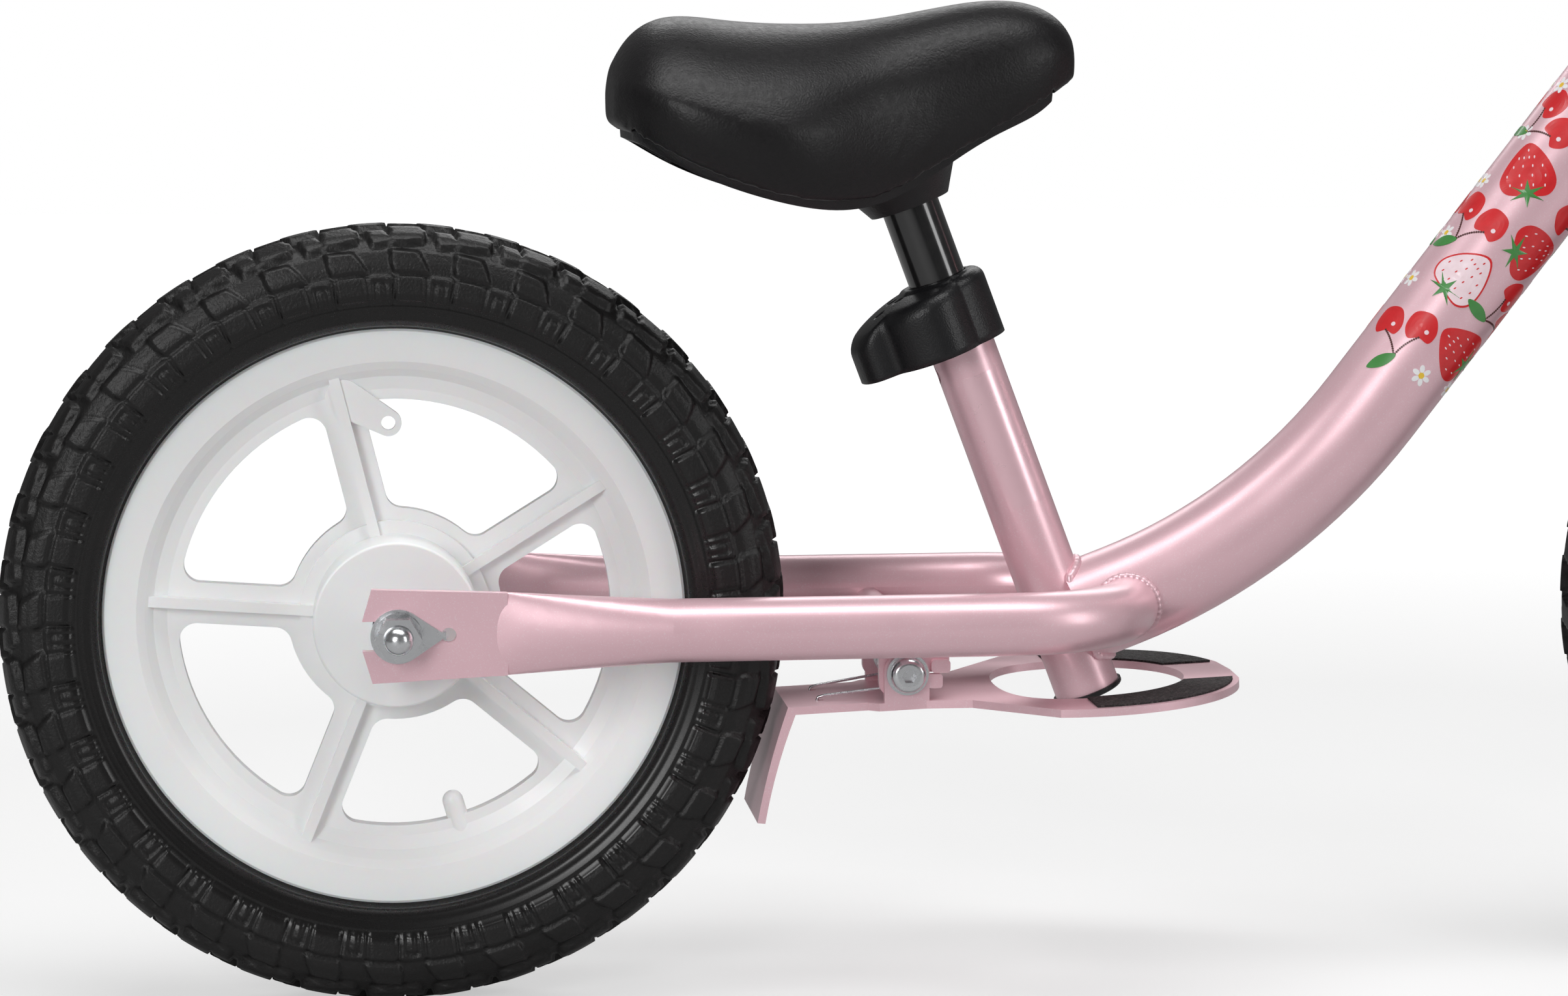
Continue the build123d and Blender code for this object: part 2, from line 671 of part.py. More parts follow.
def build_wheel(centre):
    """The moulded wheel: rim, web with five windows, ribs, hub, reflector ear and rim peg."""
    face = Plane(origin=centre, x_dir=(1, 0, 0), z_dir=(0, -1, 0))
    rib_length = rim_inner_radius - 4 - hub_radius + 1
    peg_length = rim_inner_radius - 5 - peg_inner
    upright = (Align.CENTER, Align.CENTER, Align.MIN)
    peg_turn = face * Location((0, 0, 0), (0, 0, peg_angle))
    with BuildPart() as wheel:
        with BuildSketch(Plane(origin=centre, x_dir=(1, 0, 0), z_dir=(0, 0, 1))) as section:
            with BuildLine():
                Polyline(
                    (hub_barrel_radius, 0),
                    (hub_barrel_radius, bearing_end),
                    (bearing_radius, bearing_end),
                    (bearing_radius, bearing_end - bearing_width),
                    (sleeve_radius + 2, bearing_end - bearing_width),
                    (sleeve_radius + 2, 0),
                    close=True,
                )
            make_face()
            with BuildLine():
                Polyline(
                    (sleeve_radius + 2, 0),
                    (sleeve_radius + 2, web_half_thickness),
                    (hub_radius - hub_wall, web_half_thickness),
                    (hub_radius - hub_wall, cap_face),
                    (hub_radius, cap_face),
                    (hub_radius, web_half_thickness + 3),
                    (boss_radius, web_half_thickness + 3),
                    (boss_radius, web_half_thickness),
                    (rim_inner_radius - 11, web_half_thickness),
                    (rim_inner_radius - 6, web_half_thickness + 2.5),
                    (rim_inner_radius - 3, web_half_thickness + 6.5),
                    (rim_inner_radius, rim_half_width - 2.5),
                    (rim_radius - 1, rim_half_width),
                    (rim_radius, rim_half_width - 0.6),
                    (rim_radius, rim_half_width - 1.6),
                    (rim_bed_radius, rim_bed_half_width),
                    (rim_bed_radius, 0),
                    close=True,
                )
            make_face()
            mirror(about=Plane.XZ)
        revolve(axis=Axis(centre, (0, 1, 0)))
        with BuildSketch(face):
            Circle(window_outer_radius)
            Circle(window_inner_radius, mode=Mode.SUBTRACT)
            with PolarLocations(0, spoke_count, start_angle=spoke_start):
                Rectangle(rim_radius, spoke_width, align=(Align.MIN, Align.CENTER), mode=Mode.SUBTRACT)
            fillet(vertices(), window_corner)
        extrude(amount=hub_radius, both=True, mode=Mode.SUBTRACT)
        with BuildSketch(face):
            with PolarLocations(0, spoke_count, start_angle=spoke_start):
                with Locations((hub_radius - 1, 0)):
                    Rectangle(rib_length, rib_width, align=(Align.MIN, Align.CENTER))
        extrude(amount=rib_half_height, both=True)
        with BuildSketch(face.offset(web_half_thickness)):
            with Locations(ear_place):
                Circle(ear_radius)
            with Locations(ear_root):
                Circle(ear_root_radius)
            make_hull()
            with Locations(ear_place):
                Circle(ear_hole_radius, mode=Mode.SUBTRACT)
        extrude(amount=ear_thickness)
        with Locations(peg_turn * Location((peg_inner, 0, 0), (0, 90, 0))):
            Cylinder(peg_radius, peg_length, align=upright)
            Sphere(peg_radius)
    return wheel.part


def build_tyre(centre):
    """The foam tyre, gripping the rim's bed and flanges."""
    bed = rim_bed_radius + clearance
    with BuildPart() as tyre:
        with BuildSketch(Plane(origin=centre, x_dir=(1, 0, 0), z_dir=(0, 0, 1))):
            with BuildLine():
                Polyline(
                    (bed, 0),
                    (bed, rim_bed_half_width - 0.5),
                    (rim_radius + clearance, rim_half_width - 2.0),
                    (rim_radius + clearance, rim_half_width + 3),
                    (rim_radius + 1.5, tyre_half_width - 3),
                    (rim_radius + 4, tyre_half_width - 1),
                    (rim_radius + 13, tyre_half_width),
                    (rim_radius + 25, tyre_half_width),
                    (wheel_radius - 6, tyre_half_width - 4),
                    (wheel_radius, tyre_crown_half_width),
                    (wheel_radius, 0),
                    close=True,
                )
            make_face()
            mirror(about=Plane.XZ)
        revolve(axis=Axis(centre, (0, 1, 0)))
    return tyre.part


def build_hub_fittings(name, centre, tab_direction):
    """Bearings, axle, spacers, locknuts, retention washers and domed nuts of one wheel."""
    face = Plane(origin=centre, x_dir=(1, 0, 0), z_dir=(0, -1, 0))
    tab_face = Plane(origin=centre, x_dir=tab_direction, z_dir=(0, -1, 0))
    bearing_start = bearing_end - bearing_width
    middle = bearing_end - bearing_width / 2

    with BuildPart() as hub_caps:
        ring(face, hub_radius, spacer_radius + 1, cap_face, hub_half_width)
        fillet(hub_caps.edges().sort_by(Axis.Y)[0], 1.0)
        mirror(about=Plane.XZ)
    save(hub_caps.part, f"{name}_hub_caps")

    with BuildPart() as outer_races:
        ring(face, bearing_radius, outer_race_radius, bearing_start, bearing_end)
        with Locations(face.offset(middle)):
            Torus((inner_race_radius + outer_race_radius) / 2, race_groove_radius, mode=Mode.SUBTRACT)
        mirror(about=Plane.XZ)
    save(outer_races.part, f"{name}_bearing_outer_races")

    with BuildPart() as inner_races:
        ring(face, inner_race_radius, axle_radius + axle_fit, bearing_start, bearing_end)
        with Locations(face.offset(middle)):
            Torus((inner_race_radius + outer_race_radius) / 2, race_groove_radius, mode=Mode.SUBTRACT)
        mirror(about=Plane.XZ)
    save(inner_races.part, f"{name}_bearing_inner_races")

    with BuildPart() as balls:
        with Locations(face.offset(middle)):
            with PolarLocations((inner_race_radius + outer_race_radius) / 2, ball_count):
                Sphere(ball_radius)
        mirror(about=Plane.XZ)
    save(balls.part, f"{name}_bearing_balls")

    with BuildPart() as axle:
        ring(face, axle_radius, 0, -axle_half_length, axle_half_length)
        chamfer(axle.edges().filter_by(GeomType.CIRCLE), 0.8)
    save(axle.part, f"{name}_axle")

    with BuildPart() as spacers:
        ring(face, spacer_radius, axle_radius + axle_fit, bearing_end, flat_inner - locknut_height)
        mirror(about=Plane.XZ)
        ring(face, sleeve_radius, axle_radius + axle_fit, -bearing_start, bearing_start)
    save(spacers.part, f"{name}_axle_spacers")

    with BuildPart() as locknuts:
        hexagon(face, locknut_flats, axle_radius + axle_fit, flat_inner - locknut_height, flat_inner)
        mirror(about=Plane.XZ)
    save(locknuts.part, f"{name}_axle_locknuts")

    with BuildPart() as tab_washers:
        with BuildSketch(tab_face.offset(flat_outer)):
            Circle(washer_radius)
            with Locations((tab_hole_distance - tab_tip_setback, 0)):
                Circle(tab_tip_radius)
            make_hull()
            Circle(axle_radius + axle_fit, mode=Mode.SUBTRACT)
        extrude(amount=washer_thickness)
        with BuildSketch(tab_face.offset(flat_outer - tab_tooth_depth)):
            with Locations((tab_hole_distance - tab_tooth_setback, 0)):
                Rectangle(1.0, tab_tooth_width)
        extrude(amount=tab_tooth_depth + washer_thickness)
        mirror(about=Plane.XZ)
    save(tab_washers.part, f"{name}_tab_washers")

    flange_face = flat_outer + washer_thickness
    nut_end = flange_face + nut_flange_height + nut_height
    with BuildPart() as axle_nuts:
        ring(face, nut_flange_radius, 0, flange_face, flange_face + nut_flange_height)
        hexagon(face, nut_flats, 0, flange_face + nut_flange_height, nut_end)
        with Locations(face.offset(nut_end)):
            Sphere(dome_radius)
        axle_end = axle_half_length + 0.5
        ring(face, axle_radius + axle_fit, 0, flange_face - dome_radius, axle_end, mode=Mode.SUBTRACT)
        mirror(about=Plane.XZ)
    save(axle_nuts.part, f"{name}_axle_nuts")


for name, centre, tab_direction in (
    ("rear", rear_axle, Vector(1, 0, 0)),
    ("front", front_axle, steer_up - steer_forward),
):
    save(build_wheel(centre), f"{name}_wheel")
    save(build_tyre(centre), f"{name}_tyre")
    build_hub_fittings(name, centre, tab_direction)

# ---- Fork and headset -----------------------------------------------------------------------------------
leg_start = Plane(
    origin=steer.origin + steer_up * leg_round_end + Vector(0, -stay_offset, 0),
    x_dir=(0, 1, 0),
    z_dir=-steer_up,
)
leg_flattening = flattened_end(
    leg_start, leg_round_end - leg_flat_end, leg_radius, leg_mid_half_height, flat_half_height
)
with BuildPart() as fork_crown_core:
    with BuildLine(fork_face) as leg_path:
        FilletPolyline(
            (-stay_offset, leg_round_end),
            (-stay_offset, crown_height),
            (stay_offset, crown_height),
            (stay_offset, leg_round_end),
            radius=crown_bend,
        )
    with BuildSketch(Plane(origin=leg_start.origin, x_dir=(0, 1, 0), z_dir=steer_up)):
        Circle(leg_radius)
    sweep()

with BuildPart() as fork_legs:
    with BuildLine():
        add(leg_path.line)
    with BuildSketch(Plane(origin=leg_start.origin, x_dir=(0, 1, 0), z_dir=steer_up)):
        Circle(leg_radius)
        Circle(leg_radius - leg_wall, mode=Mode.SUBTRACT)
    sweep()
    add(leg_flattening)
    add(leg_flattening.mirror(Plane.XZ))
    for offset_y in (flat_inner, -flat_outer):
        with BuildSketch(fork_side.offset(offset_y)):
            with BuildLine():
                Polyline(
                    (-15.3, leg_flat_end + 4),
                    (15.3, leg_flat_end + 4),
                    (fork_rake + 15, 8),
                    (fork_rake + 15, -15),
                    (fork_rake - 13, -15),
                    (-15.3, 10),
                    close=True,
                )
            make_face()
            with Locations((fork_rake, 0)):
                Circle(slot_width / 2, mode=Mode.SUBTRACT)
                Rectangle(slot_width, wheel_radius, align=(Align.CENTER, Align.MAX), mode=Mode.SUBTRACT)
                with PolarLocations(tab_hole_distance, 1, start_angle=135):
                    Circle(tab_hole_radius, mode=Mode.SUBTRACT)
        extrude(amount=flat_thickness)
save(fork_legs.part, "fork_legs")

steerer_top = head_tube_top + cup_height + headset_gap + headset_locknut_height
with BuildPart() as fork_steerer:
    ring(steer, steerer_radius, steerer_bore, crown_height, steerer_top)
    add(fork_crown_core.part, mode=Mode.SUBTRACT)
save(fork_steerer.part, "fork_steerer")

lower_cup = head_tube_bottom - cup_height
with BuildPart() as headset_cups:
    ring(steer, cup_radius, race_radius + cup_race_fit, lower_cup, head_tube_bottom - cup_floor)
    ring(steer, cup_radius, steerer_radius + cup_bore_fit, head_tube_bottom - cup_floor, head_tube_bottom)
    ring(steer, head_tube_bore, steerer_radius + cup_bore_fit, head_tube_bottom, head_tube_bottom + cup_skirt)
    ring(steer, head_tube_bore, steerer_radius + cup_bore_fit, head_tube_top - cup_skirt, head_tube_top)
    ring(steer, cup_radius, steerer_radius + cup_bore_fit, head_tube_top, head_tube_top + cup_floor)
    ring(steer, cup_radius, race_radius + cup_race_fit, head_tube_top + cup_floor, head_tube_top + cup_height)
save(headset_cups.part, "headset_cups")

with BuildPart() as headset_bearings:
    balls_inner = steerer_radius + cup_race_fit
    lower_balls = lower_cup + race_step
    upper_balls = head_tube_top + cup_floor + 0.1
    ring(steer, race_radius, balls_inner, lower_balls + 0.1, lower_balls + retainer_height)
    ring(steer, race_radius, balls_inner, upper_balls + 0.1, upper_balls + retainer_height)
save(headset_bearings.part, "headset_bearings")

with BuildPart() as crown_race:
    ring(steer, race_flange_radius, steerer_radius + axle_fit, lower_cup - 3.2, lower_cup - clearance)
    ring(steer, race_radius, steerer_radius + axle_fit, lower_cup - clearance, lower_cup + race_step)
save(crown_race.part, "crown_race")

cone_start = head_tube_top + 3.2 + retainer_height
cone_flange = head_tube_top + cup_height + clearance
with BuildPart() as headset_cone:
    ring(steer, race_radius, steerer_radius + axle_fit, cone_start, cone_flange)
    cone_end = steerer_top - headset_locknut_height
    ring(steer, race_flange_radius, steerer_radius + axle_fit, cone_flange, cone_end)
save(headset_cone.part, "headset_cone")

with BuildPart() as headset_locknut:
    locknut_start = steerer_top - headset_locknut_height
    hexagon(steer, headset_locknut_flats, steerer_radius + axle_fit, locknut_start, steerer_top - 1.2)
    ring(steer, headset_lip_radius, quill_radius + cup_race_fit, steerer_top + 0.1, steerer_top + 1.4)
    ring(steer, headset_lip_radius, steerer_radius + axle_fit, steerer_top - 1.2, steerer_top + 0.1)
save(headset_locknut.part, "headset_locknut")

# ---- Stem, handlebar and grips ----------------------------------------------------------------------------
bar_centre = steer.origin + steer_up * stem_height + steer_forward * stem_reach
bar_tilt = radians(bar_lean)
bar_plane = Plane(origin=bar_centre, x_dir=(0, 1, 0), z_dir=(cos(bar_tilt), 0, sin(bar_tilt)))
barrel_plane = Plane(origin=bar_centre, x_dir=steer_forward, z_dir=(0, -1, 0))
bolt_origin = bar_centre + steer_forward * (barrel_radius + barrel_lug)
bolt_line = Plane(origin=bolt_origin, x_dir=steer_forward, z_dir=steer_up)

with BuildPart() as stem:
    ring(steer, quill_radius, 0, quill_bottom, stem_height + 4)
    with BuildSketch(steer.offset(stem_height - 9)):
        Circle(quill_radius + 2.5)
        with Locations((stem_reach, 0)):
            Circle(quill_radius - 1)
        make_hull()
    extrude(amount=18)
    ring(barrel_plane, barrel_radius, 0, -barrel_half_width, barrel_half_width)
    with BuildSketch(barrel_plane):
        with Locations((barrel_radius + 2, 0)):
            Rectangle(20, 16)
    extrude(amount=8, both=True)
    barrel_cut = barrel_half_width + 1
    ring(barrel_plane, bar_radius + bar_fit, 0, -barrel_cut, barrel_cut, mode=Mode.SUBTRACT)
    with BuildSketch(barrel_plane):
        with Locations((barrel_radius + 4, 0)):
            Rectangle(20, 2)
    extrude(amount=barrel_cut, both=True, mode=Mode.SUBTRACT)
    ring(steer, stem_bolt_radius + pivot_fit, 0, quill_bottom - 1, stem_height + 20, mode=Mode.SUBTRACT)
    ring(bolt_line, pinch_bolt_radius + pivot_fit, 0, -12, 12, mode=Mode.SUBTRACT)
save(stem.part, "stem")

with BuildPart() as stem_bolt:
    ring(steer, stem_bolt_radius, 0, quill_bottom - wedge_length, stem_height + stem_head_start)
    head_top = stem_height + stem_head_start + stem_head_height
    ring(steer, stem_head_radius, 0, stem_height + stem_head_start, head_top)
    with BuildSketch(steer.offset(head_top)):
        RegularPolygon(radius=3, side_count=6, major_radius=False)
    extrude(amount=-4, mode=Mode.SUBTRACT)
save(stem_bolt.part, "stem_bolt")

with BuildPart() as stem_wedge:
    ring(steer, quill_radius, stem_bolt_radius + pivot_fit, quill_bottom - wedge_length, quill_bottom)
save(stem_wedge.part, "stem_wedge")

with BuildPart() as bar_clamp_bolt:
    ring(bolt_line, pinch_bolt_radius, 0, -14, 8)
    ring(bolt_line, pinch_head_radius, 0, 8, 13)
    with BuildSketch(bolt_line.offset(13)):
        RegularPolygon(radius=key_radius, side_count=6, major_radius=False)
    extrude(amount=-key_depth, mode=Mode.SUBTRACT)
save(bar_clamp_bolt.part, "bar_clamp_bolt")

with BuildPart() as bar_clamp_nut:
    hexagon(bolt_line, pinch_nut_flats, pinch_bolt_radius + axle_fit, -13, -8)
save(bar_clamp_nut.part, "bar_clamp_nut")

with BuildPart() as handlebar:
    with BuildLine(bar_plane) as bar_path:
        FilletPolyline(
            (-bar_half_width, bar_rise),
            (-bar_rise_end, bar_rise),
            (-bar_rise_start, 0),
            (bar_rise_start, 0),
            (bar_rise_end, bar_rise),
            (bar_half_width, bar_rise),
            radius=bar_bend,
        )
    with BuildSketch(Plane(origin=bar_path.line @ 0, z_dir=bar_path.line % 0)):
        Circle(bar_radius)
        Circle(bar_radius - bar_wall, mode=Mode.SUBTRACT)
    sweep()
save(handlebar.part, "handlebar")

grip_start = bar_half_width - grip_length
grip_line = Plane(origin=bar_plane.from_local_coords((0, bar_rise, 0)), x_dir=(1, 0, 0), z_dir=(0, -1, 0))
with BuildPart() as grips:
    ring(grip_line, grip_radius, 0, grip_start, bar_half_width + clearance)
    ring(grip_line, grip_end_radius - 1, 0, grip_start, grip_start + 3)
    ring(grip_line, grip_end_radius, 0, bar_half_width - 4, bar_half_width + grip_end_wall)
    fillet(grips.edges().sort_by(Axis.Y)[0], 4.5)
    ring(grip_line, bar_radius + bar_fit, 0, grip_start - 1, bar_half_width + clearance, mode=Mode.SUBTRACT)
    mirror(about=Plane.XZ)
save(grips.part, "grips")

# ---- Seat post and saddle ----------------------------------------------------------------------
with BuildPart() as seat_post:
    ring(seat, post_radius, post_radius - post_wall, post_bottom, post_top)
save(seat_post.part, "seat_post")


def saddle_solid(sections, end_inset, side_inset, top_inset, drop):
    """A loft through saddle sections, drawn in at its ends, flanks and top and let down by a drop."""
    first, last = sections[0][0], sections[-1][0]
    middle = (first + last) / 2
    shortening = 1 - 2 * end_inset / (last - first)
    with BuildPart() as solid:
        for x, half_width, top, wide, bottom in sections:
            station = rear_axle + Vector(middle + (x - middle) * shortening, 0, 0)
            half_width = half_width - side_inset * half_width / 42
            foot_width = half_width * 0.88
            top = top - top_inset
            wide = wide - top_inset * 0.7
            bottom = bottom - drop
            with BuildSketch(Plane(origin=station, x_dir=(0, 1, 0), z_dir=(1, 0, 0))):
                with BuildLine():
                    ThreePointArc((-half_width, wide), (0, top), (half_width, wide))
                    flank = (half_width * 0.98, (wide + bottom) / 2)
                    ThreePointArc((half_width, wide), flank, (foot_width, bottom))
                    Line((foot_width, bottom), (-foot_width, bottom))
                    ThreePointArc((-foot_width, bottom), (-flank[0], flank[1]), (-half_width, wide))
                make_face()
        loft()
    return solid.part


inner_sections = saddle_sections[1:-1]
saddle_outer = saddle_solid(saddle_sections, 0, 0, 0, 0)
saddle_cavity = saddle_solid(inner_sections, 0, saddle_skirt, saddle_padding, 4)
with BuildPart() as saddle_cover:
    add(saddle_outer)
    add(saddle_cavity, mode=Mode.SUBTRACT)
save(saddle_cover.part, "saddle_cover")

base_outer = saddle_solid(inner_sections, base_fit, saddle_skirt + base_fit, saddle_padding + base_fit, 3)
base_inner = saddle_solid(
    inner_sections,
    base_fit + saddle_base_wall,
    saddle_skirt + base_fit + saddle_base_wall,
    saddle_padding + base_fit + saddle_base_wall,
    8,
)
socket_height = post_top + 4 - socket_bottom
with BuildPart() as socket:
    with BuildSketch(seat.offset(socket_bottom)):
        Circle(socket_radius)
    with BuildSketch(seat.offset(socket_bottom + socket_cone)):
        Circle(socket_top_radius)
    loft()
    ring(seat, socket_top_radius, 0, socket_bottom + socket_cone, socket_bottom + socket_height + 40)
    trimming = saddle_solid(
        inner_sections,
        base_fit + 1,
        saddle_skirt + base_fit + saddle_base_wall,
        saddle_padding + base_fit + 1,
        socket_reach,
    )
    add(trimming, mode=Mode.INTERSECT)

with BuildPart() as base_ribs:
    with BuildSketch(side):
        with Locations(((saddle_sections[0][0] + saddle_sections[-1][0]) / 2, saddle_rib_centre)):
            Rectangle(saddle_sections[-1][0] - saddle_sections[0][0], saddle_rib_height)
    extrude(amount=saddle_base_wall / 2, both=True)
    for rib_x in saddle_rib_places:
        with BuildSketch(Plane(origin=rear_axle + Vector(rib_x, 0, 0), x_dir=(0, 1, 0), z_dir=(1, 0, 0))):
            with Locations((0, saddle_rib_centre)):
                Rectangle(saddle_rib_height * 2, saddle_rib_height)
        extrude(amount=saddle_base_wall)
    add(base_outer, mode=Mode.INTERSECT)

with BuildPart() as saddle_base:
    add(base_outer)
    add(base_inner, mode=Mode.SUBTRACT)
    add(base_ribs.part)
    add(socket.part)
    ring(seat, post_radius + axle_fit, 0, socket_bottom - 5, post_top, mode=Mode.SUBTRACT)
save(saddle_base.part, "saddle_base")
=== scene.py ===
"""A child's balance bike with a foot brake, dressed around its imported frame, in metres."""
import json
from math import atan2, cos, hypot, pi, radians, sin, sqrt, tan

import bmesh
import bpy
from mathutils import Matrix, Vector
from mathutils.bvhtree import BVHTree


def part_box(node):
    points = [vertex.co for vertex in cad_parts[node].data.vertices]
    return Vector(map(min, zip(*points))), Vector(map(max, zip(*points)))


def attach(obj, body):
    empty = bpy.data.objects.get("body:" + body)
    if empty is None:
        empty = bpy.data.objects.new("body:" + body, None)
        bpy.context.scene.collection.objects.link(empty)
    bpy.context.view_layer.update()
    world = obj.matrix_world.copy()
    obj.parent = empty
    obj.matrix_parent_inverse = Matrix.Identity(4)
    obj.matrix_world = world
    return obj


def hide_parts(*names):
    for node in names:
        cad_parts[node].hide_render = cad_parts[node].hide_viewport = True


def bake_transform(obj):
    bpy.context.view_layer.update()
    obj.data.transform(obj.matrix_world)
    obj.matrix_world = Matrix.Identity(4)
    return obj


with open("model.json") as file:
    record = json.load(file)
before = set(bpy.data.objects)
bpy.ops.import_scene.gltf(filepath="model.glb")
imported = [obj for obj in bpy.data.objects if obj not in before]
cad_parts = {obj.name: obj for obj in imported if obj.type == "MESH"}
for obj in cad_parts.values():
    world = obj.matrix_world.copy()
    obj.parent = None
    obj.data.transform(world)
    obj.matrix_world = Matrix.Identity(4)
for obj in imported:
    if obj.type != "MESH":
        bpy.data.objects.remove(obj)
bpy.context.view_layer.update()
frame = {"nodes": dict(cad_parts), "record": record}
MM = 0.001

# ---- Room: camera, pale floor, white backdrop and three soft lamps -----------------------------
# A studio sweep: the bike stands on a pale floor that fades into white. The lens
# is long and looks at the rear half of the bike from its right side.
camera_data = bpy.data.cameras.new("camera")
camera_data.lens = 85.95
camera_data.sensor_width = 36.0
camera_data.clip_end = 60.0
camera = bpy.data.objects.new("camera", camera_data)
bpy.context.collection.objects.link(camera)
camera.location = (-0.3226, -1.416, 0.360)
camera_yaw, camera_pitch = radians(6.74), radians(-6.81)
sight = Vector((sin(camera_yaw) * cos(camera_pitch), cos(camera_yaw) * cos(camera_pitch), sin(camera_pitch)))
camera.rotation_euler = sight.to_track_quat("-Z", "Y").to_euler()
bpy.context.scene.camera = camera


def deselect():
    """Operators act on all that is selected, so each section starts from nothing."""
    if bpy.context.object and bpy.context.object.mode != "OBJECT":
        bpy.ops.object.mode_set(mode="OBJECT")
    bpy.ops.object.select_all(action="DESELECT")


def select(piece):
    deselect()
    piece.select_set(True)
    bpy.context.view_layer.objects.active = piece


def lamp(name, place, aim, width, height, power):
    """A softbox: a rectangular area lamp turned towards what it lights."""
    data = bpy.data.lights.new(name, "AREA")
    data.shape = "RECTANGLE"
    data.size, data.size_y, data.energy = width, height, power
    softbox = bpy.data.objects.new(name, data)
    bpy.context.collection.objects.link(softbox)
    softbox.location = place
    softbox.rotation_euler = (Vector(aim) - Vector(place)).to_track_quat("-Z", "Y").to_euler()


lamp("overhead_softbox", (-0.2, -0.35, 1.9), (-0.1, 0.0, 0.25), 2.0, 0.55, 21.0)
lamp("camera_side_softbox", (-1.5, -2.2, 1.0), (-0.1, 0.0, 0.25), 0.8, 1.2, 26.0)
lamp("front_softbox", (1.9, -1.6, 0.9), (0.0, 0.0, 0.25), 0.6, 1.4, 13.0)
lamp("far_side_softbox", (0.3, 1.9, 1.5), (-0.1, 0.0, 0.25), 1.6, 0.8, 12.0)

# The room is white where the lens sees it, and dim enough elsewhere for black parts to stay black.
world = bpy.data.worlds.new("white_room")
bpy.context.scene.world = world
world.use_nodes = True
room = world.node_tree.nodes["Background"]
room.inputs["Color"].default_value = (1.0, 1.0, 1.0, 1.0)
room_light, room_seen = 0.14, 1.0
seen = world.node_tree.nodes.new("ShaderNodeLightPath")
strength = world.node_tree.nodes.new("ShaderNodeMapRange")
strength.inputs["To Min"].default_value = room_light
strength.inputs["To Max"].default_value = room_seen
world.node_tree.links.new(seen.outputs["Is Camera Ray"], strength.inputs["Value"])
world.node_tree.links.new(strength.outputs["Result"], room.inputs["Strength"])
bpy.context.scene.view_settings.view_transform = "Standard"


class Signal:
    """A shader socket that plain arithmetic can be written with."""

    def __init__(self, finish, socket):
        self.finish, self.socket = finish, socket

    def maths(self, operation, *values):
        return self.finish.node("ShaderNodeMath", {"operation": operation}, dict(enumerate(values)))

    def __add__(self, other):
        return self.maths("ADD", self, other)

    def __radd__(self, other):
        return self.maths("ADD", other, self)

    def __sub__(self, other):
        return self.maths("SUBTRACT", self, other)

    def __rsub__(self, other):
        return self.maths("SUBTRACT", other, self)

    def __mul__(self, other):
        return self.maths("MULTIPLY", self, other)

    def __rmul__(self, other):
        return self.maths("MULTIPLY", other, self)

    def __gt__(self, other):
        return self.maths("GREATER_THAN", self, other)

    def __lt__(self, other):
        return self.maths("LESS_THAN", self, other)


class Finish:
    """A material: one Principled surface, and the nodes that feed it."""

    def __init__(self, name, **constants):
        self.material = bpy.data.materials.new(name)
        self.material.use_nodes = True
        self.nodes = self.material.node_tree.nodes
        self.links = self.material.node_tree.links
        self.surface = self.nodes["Principled BSDF"]
        self.place = self.node("ShaderNodeTexCoord", {}, {}, "Object")
        for socket, value in constants.items():
            self.set(socket.replace("_", " "), value)

    def node(self, kind, settings, inputs, output=0):
        made = self.nodes.new(kind)
        for setting, value in settings.items():
            setattr(made, setting, value)
        for socket, value in inputs.items():
            if isinstance(value, Signal):
                self.links.new(value.socket, made.inputs[socket])
            else:
                made.inputs[socket].default_value = value
        return Signal(self, made.outputs[output])

    def set(self, socket, value):
        """Feeds a Principled socket with a link, a colour or a number."""
        if isinstance(value, Signal):
            self.links.new(value.socket, self.surface.inputs[socket])
        else:
            self.surface.inputs[socket].default_value = value

    def colours(self, pattern, first, second):
        """Two shades of the same colour, mixed by a pattern."""
        self.set("Base Color", self.mix(pattern, shade(*first), shade(*second)))

    def noise(self, scale, detail=2.0, roughness=0.5, output="Fac"):
        inputs = {"Vector": self.place, "Scale": scale, "Detail": detail, "Roughness": roughness}
        return self.node("ShaderNodeTexNoise", {}, inputs, output)

    def cells(self, scale, output="Distance", feature="F1"):
        inputs = {"Vector": self.place, "Scale": scale}
        return self.node("ShaderNodeTexVoronoi", {"feature": feature}, inputs, output)

    def mix(self, factor, first, second):
        inputs = {0: factor, 6: first, 7: second}
        return self.node("ShaderNodeMix", {"data_type": "RGBA"}, inputs, 2)

    def spread(self, value, low, high, to_low=0.0, to_high=1.0):
        """Stretches a value's range from low..high to another, and clamps it there."""
        inputs = {"Value": value, "From Min": low, "From Max": high, "To Min": to_low, "To Max": to_high}
        return self.node("ShaderNodeMapRange", {"clamp": True}, inputs)

    def bump(self, height, strength, distance=0.001):
        inputs = {"Height": height, "Strength": strength, "Distance": distance}
        self.set("Normal", self.node("ShaderNodeBump", {}, inputs, "Normal"))

    def coat(self, *nodes):
        """Gives this finish to frame nodes, whose shape stays as it is."""
        for name in nodes:
            piece = frame["nodes"][name]
            piece.data.materials.clear()
            piece.data.materials.append(self.material)


def shade(red, green, blue):
    return (red, green, blue, 1.0)


